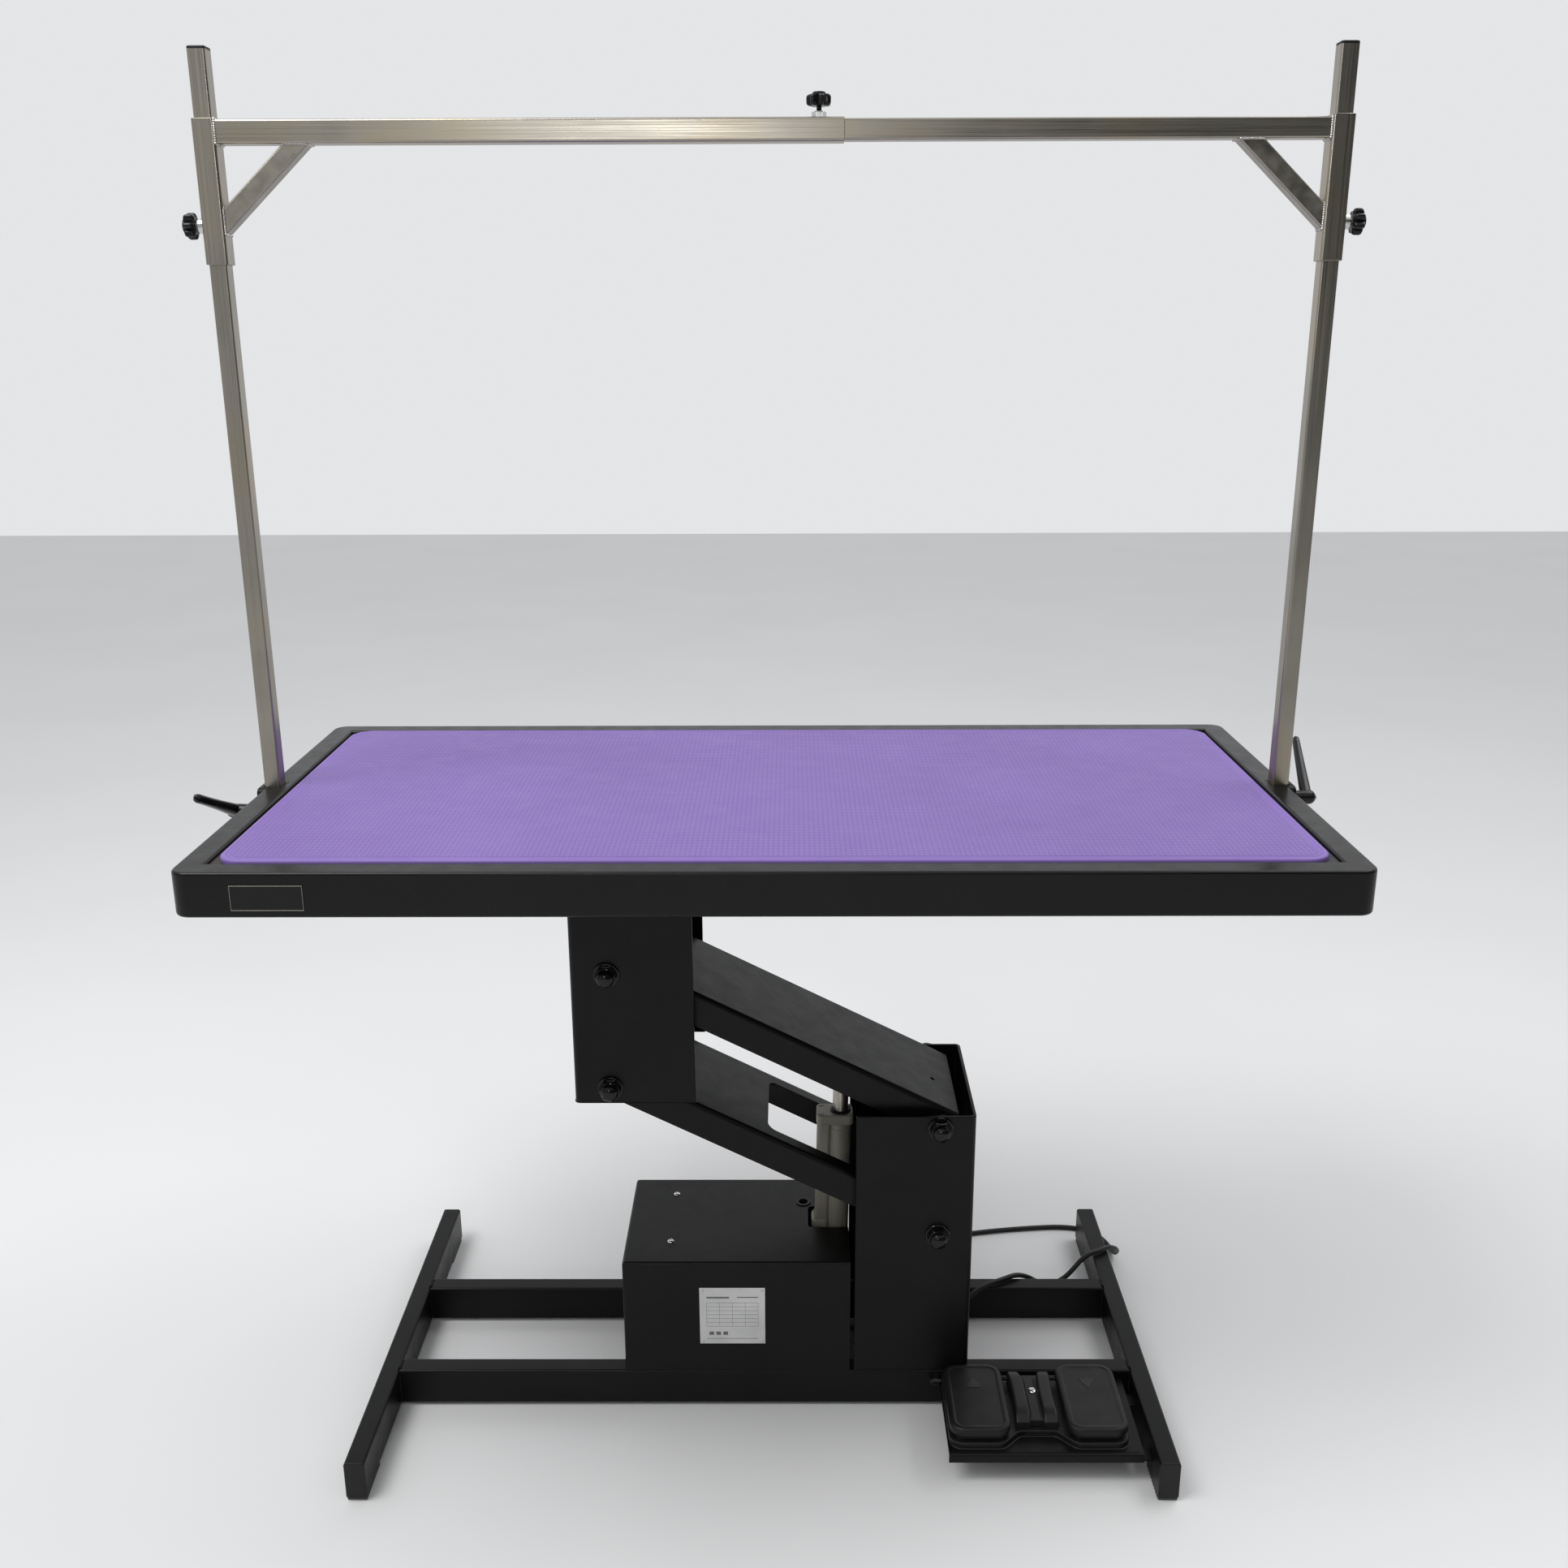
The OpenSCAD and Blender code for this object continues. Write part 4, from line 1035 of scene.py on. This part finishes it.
def add_arm(node, pivot, far):
    length, mid_y = (far - pivot).length, -4
    y = (mid_y - 84, mid_y + 84)
    h, t, bend = 20, 3, 6
    outline = [(y[0], -h), (y[0], h - bend)]
    outline += [(y[0] + bend - bend * cos(a), h - bend + bend * sin(a)) for a in quarter()]
    outline += [(y[1] - bend + bend * sin(a), h - bend + bend * cos(a)) for a in quarter()]
    outline += [(y[1], -h), (y[1] - t, -h)]
    k = bend - t
    outline += [(y[1] - bend + k * cos(a), h - bend + k * sin(a)) for a in quarter()]
    outline += [(y[0] + bend - k * sin(a), h - bend + k * cos(a)) for a in quarter()]
    outline += [(y[0] + t, -h)]
    bm = bmesh.new()
    prism_into(bm, outline, 0, (-17, length + 17))
    piece = solid(node, bm, BLACK, node, turn=arm_turn(pivot))
    tool = bmesh.new()
    if node == "lower_arm":
        bar_into(tool, (90, 250), (mid_y - 61, mid_y + 61), (h - 8, h + 8), 2, 12, None, 0.1)
    else:
        lathe_into(tool, [(3, h - 8), (3, h + 8)], 24, turn=Matrix.Translation((14, mid_y - 15, 0)))
    bmesh.ops.transform(tool, matrix=arm_turn(pivot), verts=tool.verts)
    cut(piece, [tool])
    bm = bmesh.new()
    bm.from_mesh(piece.data)
    bmesh.ops.dissolve_limit(bm, angle_limit=radians(1), verts=bm.verts, edges=bm.edges)
    ease(bm, 0.7 * MM, 2)
    bm.to_mesh(piece.data)
    bm.free()
    mark_sharp(piece.data)
    inner = inset(span("lift_column")[1], 4.4)
    bm = bmesh.new()
    for end in (pivot, far):
        turn = facing((end.x, 0, end.z), (0, 1, 0))
        profile = [(8.05, inner[0]), (13.4, inner[0]), (14, inner[0] + 0.8)]
        profile += [(14, inner[1] - 0.8), (13.4, inner[1]), (8.05, inner[1])]
        lathe_into(bm, profile, 48, turn, ring=True)
    solid(node + "_bushes", bm, BLACK, node)


def add_actuator():
    pin = joint_at("actuator_pin")
    foot = Vector((ACTUATOR_FOOT[0], pin.y, ACTUATOR_FOOT[1]))
    lean = atan2(pin.x - foot.x, pin.z - foot.z)
    turn = (
        Matrix.Translation(pin)
        @ Matrix.Rotation(lean, 4, "Y")
        @ Matrix.Scale(-1, 4, (0, 0, 1))
    )
    reach = (pin - foot).length
    low = reach - 22
    bm = bmesh.new()
    lathe_into(bm, [(8.6, 9), (10, 10.5), (10, 236.5), (8.5, 238)], 48, turn=turn)
    eye = turn @ Matrix.Rotation(-PI / 2, 4, "X")
    profile = [(5.05, -12), (12.4, -12), (13, -11.4), (13, 11.4), (12.4, 12), (5.05, 12)]
    lathe_into(bm, profile, 48, eye, ring=True)
    solid("actuator_rod", bm, ROD, "act_rod")
    bm = bmesh.new()
    profile = [
        (10.6, 104.5), (14, 104.5), (15, 105.5), (15, 112), (14.4, 112.6), (14.4, 114), (15, 114.6),
        (15, low - 8), (14.3, low - 7.4), (14.3, low - 6), (15, low - 5.4), (15, low - 1), (14, low),
    ]
    lathe_into(bm, profile, 64)
    slab_into(bm, (-11, 11), (-12, 12), (low - 2, reach + 11), 3, 3)
    solid("actuator_barrel", bm, GREY, "act_barrel", turn=turn)
    bm = bmesh.new()
    across = turn @ Matrix.Translation((0, 0, reach)) @ Matrix.Rotation(-PI / 2, 4, "X")
    lathe_into(bm, [(4.2, -22), (5, -21.2), (5, 21.2), (4.2, 22)], 32, across)
    solid("actuator_foot_pin", bm, ZINC, "act_barrel")

    bm = bmesh.new()
    bar_into(bm, (-30, -11.5), (-11, 11), (106, low - 48), 2, 5, None, 0.8)
    bar_into(bm, (-34, -11.5), (-13.5, 13.5), (low - 110, low), 2, 6, None, 1.2)
    for at in (low - 100, low - 12):
        bar_into(bm, (-34, -11.5), (-13.5, 13.5), (at, at + 1.2), 2, 6, None, 0.3)
    for cy in (8.5, -8.5):
        profile = [(2.2, low - 112.5), (2.4, low - 112), (2.4, low - 109)]
        lathe_into(bm, profile, 16, Matrix.Translation((-29, cy, 0)))
    solid("actuator_motor", bm, GREY, "act_barrel", turn=turn)
    bm = bmesh.new()
    bar_into(bm, (-31, 17), (-17, 17), (92, 106), 2, 7, None, 1.4)
    for cx, cy in ((-25, 11.5), (-25, -11.5), (12, 12), (12, -12)):
        lathe_into(bm, [(2.6, 91.2), (2.9, 91.6), (2.9, 92.5)], 20, Matrix.Translation((cx, cy, 0)))
    solid("actuator_collar", bm, GREY, "act_barrel", turn=turn)
    bm = bmesh.new()
    profile = [(10.45, 92.5), (10.45, 90.3), (11.6, 89.8), (13.2, 90.6), (13.4, 92.5)]
    lathe_into(bm, profile, 48, turn, ring=True)
    solid("rod_wiper", bm, PLASTIC, "act_barrel")
    dress("actuator_lugs", BLACK, "upper_arm", 0.5)


def add_bracket():
    x, y, z = span("table_bracket")
    pivot = joint_at("table_pivot")
    inner = (pivot.x - 44, pivot.x + 104)
    depth = span("lift_column")[1]
    bm = bmesh.new()
    prism_into(bm, channel_outline(inner, depth, SHEET, SHEET_BEND, False), 2, (z[0], z[1] - 6))
    ease(bm, 0.9, 3)
    bar_into(bm, x, y, (z[1] - 6, z[1]), 2, 8, None, 0.8)
    solid("table_bracket", bm, BLACK, "table")
    rise = pivot.z - joint_at("lift").z
    pivots = [Vector((pivot.x, 0, joint_at(n).z + rise)) for n in ("lift", "upper_arm_pivot")]
    add_nuts("bracket_nuts", pivots, "table")
    add_shafts("bracket_shafts", pivots, "table")
    runs = [((inner[0], yy, z[1] - 6), (inner[1] - 6, yy, z[1] - 6)) for yy in depth]
    beads("bracket_welds", runs, 1.6, BLACK, "table")


# ---- Table top -------------------------------------------------------------


def rim_path(w, z, r):
    """The rim tube's section as (inset, height) points, corners rounded."""
    points = arc((r, z[0] + r), r, 270, 180, 5) + arc((r, z[1] - r), r, 180, 90, 5)
    points += arc((w - r, z[1] - r), r, 90, 0, 5) + arc((w - r, z[0] + r), r, 0, -90, 5)
    return points


def add_table_top():
    x, y, z = span("tabletop_rim")
    bm = tiers_into(bmesh.new(), x, y, rim_path(RIM_W, z, 3.4), RIM_CORNER, 10, ring=True)
    rim = solid("tabletop_rim", bm, RIM_BLACK, "table")
    tools = []
    for side in (-1, 1):
        xs = sorted((side * SOCKET_X[0], side * 640))
        tools.append(slab_into(bmesh.new(), xs, POST_Y, (z[0] - 9, z[1] + 9), 0.1, 1))
    cut(rim, tools)

    x, y, z = span("tabletop_board")
    slab("tabletop_board", x, y, z, 0.8, BOARD, "table")
    x, y, z = span("mat")
    rows = [
        (0.3, 0), (0, 0.5), (0, 3.4), (0.5, 4.6), (1.4, 5.4), (2.8, 5.9), (4.6, 6.0), (5.6, 5.8),
        (6.2, 5.2), (6.9, 5.2), (7.5, 5.8), (8.6, 5.95), (9.6, 5.7), (10.2, 5.2), (10.9, 5.2),
        (11.6, 5.7),
    ]
    field = ((11.4, 5.0), (11.4, 5.72), (11.9, 5.86))
    for name, material, part in (("mat", MAT_EDGE, rows), ("mat_field", MAT_FIELD, field)):
        part = [(d, z[0] + h) for d, h in part]
        solid(name, tiers_into(bmesh.new(), x, y, part, MAT_CORNER, 14), material, "table")

    sx, sy, sz = span("subframe_tubes")
    bm = bmesh.new()
    for at in BEAM_Y:
        bar_into(bm, inset(sx, 0.1), (at - BEAM_HALF, at + BEAM_HALF), sz, 0, 2.5, 2, 0.3)
    faces = [at + side * BEAM_HALF for at in BEAM_Y for side in (-1, 1)]
    ends = [(sy[0] + 0.1, faces[0]), (faces[1], faces[2]), (faces[3], sy[1] - 0.1)]
    for at in (-CROSS_X, CROSS_X):
        for ys in ends:
            bar_into(bm, (at - BEAM_HALF, at + BEAM_HALF), ys, sz, 1, 2.5, 2, 0.3)
    solid("subframe_tubes", bm, BLACK, "table")
    runs = []
    for at in (-CROSS_X, CROSS_X):
        for edge in (at - BEAM_HALF, at + BEAM_HALF):
            for yy in faces:
                runs.append(((edge, yy, sz[0] + 3), (edge, yy, sz[1] - 3)))
    beads("subframe_welds", runs, 1.6, BLACK, "table")
    dress("subframe_bolts", ZINC, "table", 0.5)

    x, y, z = span("maker_plate")
    bm = slab_into(bmesh.new(), x, (y[0] + 0.1, y[1]), z, 0.3, 2)
    solid("maker_plate", bm, PLATE, "table")
    face = (y[0], y[0] + 0.2)
    bm = bmesh.new()
    for zs in ((z[0] + 0.6, z[0] + 1.5), (z[1] - 1.5, z[1] - 0.6)):
        slab_into(bm, inset(x, 0.6), face, zs, 0.03, 1)
    for xs in ((x[0] + 0.6, x[0] + 1.1), (x[1] - 1.1, x[1] - 0.6)):
        slab_into(bm, xs, face, (z[0] + 1.5, z[1] - 1.5), 0.03, 1)
    solid("maker_plate_border", bm, GREY, "table")


def add_sockets_and_levers():
    z = span("post_sockets")[2]
    bm = bmesh.new()
    for side in (-1, 1):
        xs = sorted(side * at for at in SOCKET_X)
        bar_into(bm, xs, POST_Y, z, 2, 3, 2.6, 0.5)
        rows = [(0, side * 625), (0, side * 632), (0.8, side * 633.3), (2.2, side * 634)]
        tiers_into(bm, (-6, 30), (769, 815), rows, 7, 6, axis=0)
    solid("post_sockets", bm, BLACK, "table")
    runs = []
    for side in (-1, 1):
        for yy in POST_Y:
            runs.append(((side * 605, yy, 765), (side * 623, yy, 765)))
    beads("socket_welds", runs, 1.6, BLACK, "table")
    add_lever("left_clamp_lever", "left_lever", -1, joint_at("left_clamp_turn"), 153.7, 37, 97, 45, 4)
    add_lever("right_clamp_lever", "right_lever", 1, joint_at("right_clamp_turn"), 33.2, 21, 95, 26, 3)


def add_lever(node, body, side, place, angle, reach, arm, out, back):
    """A clamp lever: a stud, a tapered hub and a blade that starts back from its end."""
    hub = facing(place, (side, 0, 0))
    bm = bmesh.new()
    profile = [(7.2, 0.4), (7.6, 1.0)]
    profile += [(7.6 + 1.2 * k / 6, 1 + (reach - 5) * k / 6) for k in range(1, 7)]
    profile += [(9 * cos(a), reach + 8.4 * sin(a)) for a in quarter(7)[:7]]
    profile.append((1.8, reach + 8.6))
    lathe_into(bm, profile, 40, turn=hub)
    a = radians(angle)
    start = Vector((place.x + side * (reach - back), place.y, place.z))
    tip = Vector((place.x + side * out, place.y + arm * cos(a), place.z + arm * sin(a)))
    along = (tip - start).normalized()
    flat = Vector((side, 0, 0)) - along * along.dot(Vector((side, 0, 0)))
    flat.normalize()
    across = along.cross(flat)
    loops = []
    length = (tip - start).length + 5.2
    stations = 26
    for k in range(stations + 1):
        t = k / stations
        centre = start + along * (length * (0.02 + 0.98 * t))
        wide = 8.2 - 2.6 * t - 0.9 * sin(PI * t)
        thick = 6.6 - 2.6 * t
        if t > 0.9:
            cap = sqrt(max(0.0, 1 - ((t - 0.9) / 0.1) ** 2))
            wide, thick = wide * max(0.12, cap), thick * max(0.2, cap**0.6)
        ring = []
        for i in range(24):
            b = 2 * PI * i / 24
            c, s = cos(b), sin(b)
            cc = copysign(abs(c) ** 0.75, c)
            ss = copysign(abs(s) ** 0.75, s)
            ring.append(centre + flat * (thick * cc) + across * (wide * ss))
        loops.append(ring)
    skin_loops(bm, loops)
    solid(node, bm, GLOSSY, body)
    bm = bmesh.new()
    inner = side * (616 + 10.4)
    stud = facing((inner, place.y, place.z), (side, 0, 0))
    lathe_into(bm, [(3.4, 0), (4, 0.8), (4, 6.6), (4, 8)], 28, stud)
    solid(node + "_stud", bm, ZINC, body)
    end = Vector((place.x + side * (reach + 8.3), place.y, place.z))
    cross_screw(node + "_screw", [end], 3.1, 0.9, (side, 0, 0), body)


# ---- Posts and crossbar ----------------------------------------------------


def add_posts():
    for side in ("left", "right"):
        node = side + "_post"
        x, y, z = span(node)
        bar(node, x, y, (z[0], z[1] - 3), 2, 2.4, STEEL[2], node, wall=1.5, edge=0.3)
        loops = []
        for h, d in ((-3, 0), (-1.2, 0), (-0.4, 0.5), (0, 1.6)):
            loops.append([put(p, z[1] + h, 2) for p in round_rect(inset(x, d), inset(y, d), 2.6)])
        bm = bmesh.new()
        skin_loops(bm, loops)
        bar_into(bm, inset(x, 1.6), inset(y, 1.6), (z[1] - 15, z[1] - 3), 2, 1, None, 0.4)
        solid(node + "_cap", bm, PLASTIC, node)


def add_crossbar():
    _, sy, sz = span("frame_sleeves")
    mid_y, px = middle(sy), middle(span("right_post")[0])
    half = 12.5
    knob_z = joint_at("left_knob_turn").z
    bm, bosses = bmesh.new(), bmesh.new()
    for side in (-1, 1):
        xs = (side * px - half, side * px + half)
        bar_into(bm, xs, sy, sz, 2, 3, 2.1, 0.4)
        turn = facing((side * (px + half), mid_y, knob_z), (side, 0, 0))
        profile = [(4.1, 0), (8, 0), (8, 6.2), (7.3, 7), (4.6, 7), (4.1, 6.6)]
        lathe_into(bosses, profile, 36, turn, ring=True)
    solid("frame_sleeves", bm, STEEL[2], "crossbar")
    solid("sleeve_bosses", bosses, ZINC, "crossbar")

    ox, oy, oz = span("crossbar_outer")
    bar_z = (oz[1] - 6 - 25, oz[1] - 6)
    bar("crossbar_outer", ox, oy, bar_z, 0, 3, STEEL[0], "crossbar", wall=1.3, edge=0.4)
    ix, iy, iz = span("crossbar_inner")
    bar("crossbar_inner", ix, iy, iz, 0, 2.4, STEEL[0], "crossbar", wall=1.3, edge=0.3)
    kx = joint_at("top_knob_turn").x
    bm = bmesh.new()
    flats = hexagon(6.93, 8)
    rows = [(hexagon(6.9, 8), 0), (flats, 0.4), (flats, 5.2), (hexagon(6.7, 7), 6)]
    lathe_into(bm, rows, 48, Matrix.Translation((kx, mid_y, bar_z[1])))
    solid("crossbar_nut", bm, ZINC, "crossbar", sharp=25)

    bm = bmesh.new()
    run, drop, w = 85, 79, 20
    lean = atan2(drop, run)
    cut_x, cut_z = w / sin(lean), w / cos(lean)
    weld_runs = []
    for side, under in ((-1, bar_z[0]), (1, iz[0])):
        face = side * (px - half)
        ring = round_rect((-w / 2, w / 2), (-w / 2, w / 2), 2.4)
        hollow = round_rect((-w / 2 + 1.5, w / 2 - 1.5), (-w / 2 + 1.5, w / 2 - 1.5), 1.2)

        def at_bar(u, v):
            return Vector((face - side * (run + u * cut_x / w), mid_y + v, under))

        def at_sleeve(u, v):
            return Vector((face, mid_y + v, under - drop - u * cut_z / w))

        loops = [
            [at_bar(u, v) for u, v in ring],
            [at_sleeve(u, v) for u, v in ring],
            [at_sleeve(u, v) for u, v in hollow],
            [at_bar(u, v) for u, v in hollow],
        ]
        skin_loops(bm, loops, ring=True)
        h = w / 2
        corners = [(-h, -h), (-h, h), (h, h), (h, -h)]
        for place in (at_bar, at_sleeve):
            for i in range(4):
                weld_runs.append((place(*corners[i]), place(*corners[(i + 1) % 4])))
        bh = middle(bar_z)
        size = half if side < 0 else 11
        square = [(-size, -size), (-size, size), (size, size), (size, -size)]
        for i in range(4):
            a, b = square[i], square[(i + 1) % 4]
            weld_runs.append(
                (Vector((face, mid_y + a[0], bh + a[1])), Vector((face, mid_y + b[0], bh + b[1])))
            )
    solid("frame_braces", bm, STEEL_PLAIN, "crossbar")
    beads("frame_welds", weld_runs, 1.3, WELD, "crossbar")

    add_knob("left_knob", joint_at("left_knob_turn"), (-1, 0, 0), 14.5, 2, 4, px + half + 7.4)
    add_knob("right_knob", joint_at("right_knob_turn"), (1, 0, 0), 14.5, 2, 4, px + half + 7.4)
    add_knob("top_knob", joint_at("top_knob_turn"), (0, 0, 1), 14, 5, 3, bar_z[1] + 6.4)


def add_knob(node, place, direction, radius, stem, stud, seat):
    """A seven-lobed star knob on its stud, standing off its seat."""
    place = Vector(place)
    axis = Vector(direction)
    place = place - axis * place.dot(axis) + axis * seat
    turn = facing(place, direction)

    def star(scale, deep=0.17):
        def at(a):
            wave = 0.5 + 0.5 * cos(7 * a)
            return radius * scale * (1 - deep * 2 + deep * 2 * wave**0.62)

        return at

    rows = [
        (star(0.60, 0.05), 0), (star(0.78, 0.1), 0.4), (star(0.93), 1.4), (star(0.99), 3.2),
        (star(1.0), 8.6), (star(0.95), 10.6), (star(0.84, 0.1), 11.7), (star(0.66, 0.05), 12),
        (star(0.52, 0), 12.2), (star(0.5, 0), 14), (star(0.42, 0), 14.5),
    ]
    bm = bmesh.new()
    lathe_into(bm, [(r, stem + h) for r, h in rows], 112, turn)
    solid(node, bm, GLOSSY, node, sharp=50)
    bm = bmesh.new()
    depth = 7.2 if stud > 3.5 else 7
    profile = [(stud - 0.6, -depth), (stud, -depth + 0.6)]
    at = -depth + 1.2
    while at < stem - 0.6:
        profile += [(stud, at), (stud - 0.35, at + 0.45)]
        at += 0.9
    profile += [(stud, stem - 0.2), (stud, stem + 0.4)]
    lathe_into(bm, profile, 32, turn=turn)
    solid(node + "_stud", bm, GLOSSY if node == "top_knob" else ZINC, node)


# ---- Studio ----------------------------------------------------------------


FLOOR_HALF_M = 9


def add_light(name, place, target, size, power):
    data = bpy.data.lights.new(name, "AREA")
    data.shape = "RECTANGLE"
    data.size, data.size_y = size
    data.energy = power
    light = placed(name, data)
    light.location = place
    aim = Vector(target) - Vector(place)
    light.rotation_euler = aim.to_track_quat("-Z", "Y").to_euler()


def add_world():
    """Soft light: a pale backdrop and ceiling, and a darker room in front."""
    world = bpy.data.worlds.new("studio")
    world.use_nodes = True
    tree = world.node_tree
    place = add_node(tree, "TexCoord").outputs["Generated"]
    split = add_node(tree, "SeparateXYZ", Vector=place).outputs

    def mapped(axis, start, end, low, high):
        ends = {"From_Min": start, "From_Max": end, "To_Min": low, "To_Max": high}
        node = add_node(tree, "MapRange", Value=split[axis], **ends)
        node.interpolation_type = "SMOOTHSTEP"
        return node.outputs["Result"]

    def mixed(factor, low, high):
        return add_node(tree, "Mix", Factor=factor, A=low, B=high).outputs["Result"]

    room_left, room_right, backdrop, ceiling = 0.50, 0.05, 0.8, 0.9
    front = mapped("X", -0.6, 0.2, room_left, room_right)
    sides = mixed(mapped("Y", -0.1, 0.5, 0.0, 1.0), front, backdrop)
    total = mixed(mapped("Z", 0.35, 0.8, 0.0, 1.0), sides, ceiling)
    back = tree.nodes["Background"]
    back.inputs["Color"].default_value = (0.97, 0.98, 1.0, 1)
    tree.links.new(total, back.inputs["Strength"])
    bpy.context.scene.world = world


def add_studio():
    bm = bmesh.new()
    bmesh.ops.create_grid(bm, x_segments=2, y_segments=2, size=FLOOR_HALF_M)
    data = bpy.data.meshes.new("floor")
    bm.to_mesh(data)
    bm.free()
    g = Graph("studio_floor")
    stops = [(0.3, (0.68, 0.68, 0.68)), (0.7, (0.70, 0.70, 0.70))]
    g.link(g.ramp(g.noise(1.5, 3), stops), "Base Color")
    g.set(Roughness=0.9)
    data.materials.append(g.material)
    placed("floor", data)
    add_world()
    add_light("key", (-1.6, -0.9, 3.6), (0, 0, 0.8), (1.8, 1.8), 75)
    add_light("fill", (1.9, 0.6, 3.4), (0, 0, 0.6), (1.6, 1.6), 30)
    add_light("window", (-0.52, -4.2, 2.12), (-0.1, 0, 1.5), (0.45, 0.2), 14)
    bpy.context.scene.view_settings.view_transform = "Standard"


# ---- Build -----------------------------------------------------------------

add_cord()
add_gland()
add_base()
add_column()
add_control_box()
add_rating_plate()
add_pedal()
lower, upper, table = joint_at("lift"), joint_at("upper_arm_pivot"), joint_at("table_pivot")
add_arm("lower_arm", lower, Vector((table.x, lower.y, table.z)))
add_arm("upper_arm", upper, Vector((table.x, upper.y, table.z + upper.z - lower.z)))
add_actuator()
add_bracket()
add_table_top()
add_sockets_and_levers()
add_posts()
add_crossbar()
add_studio()
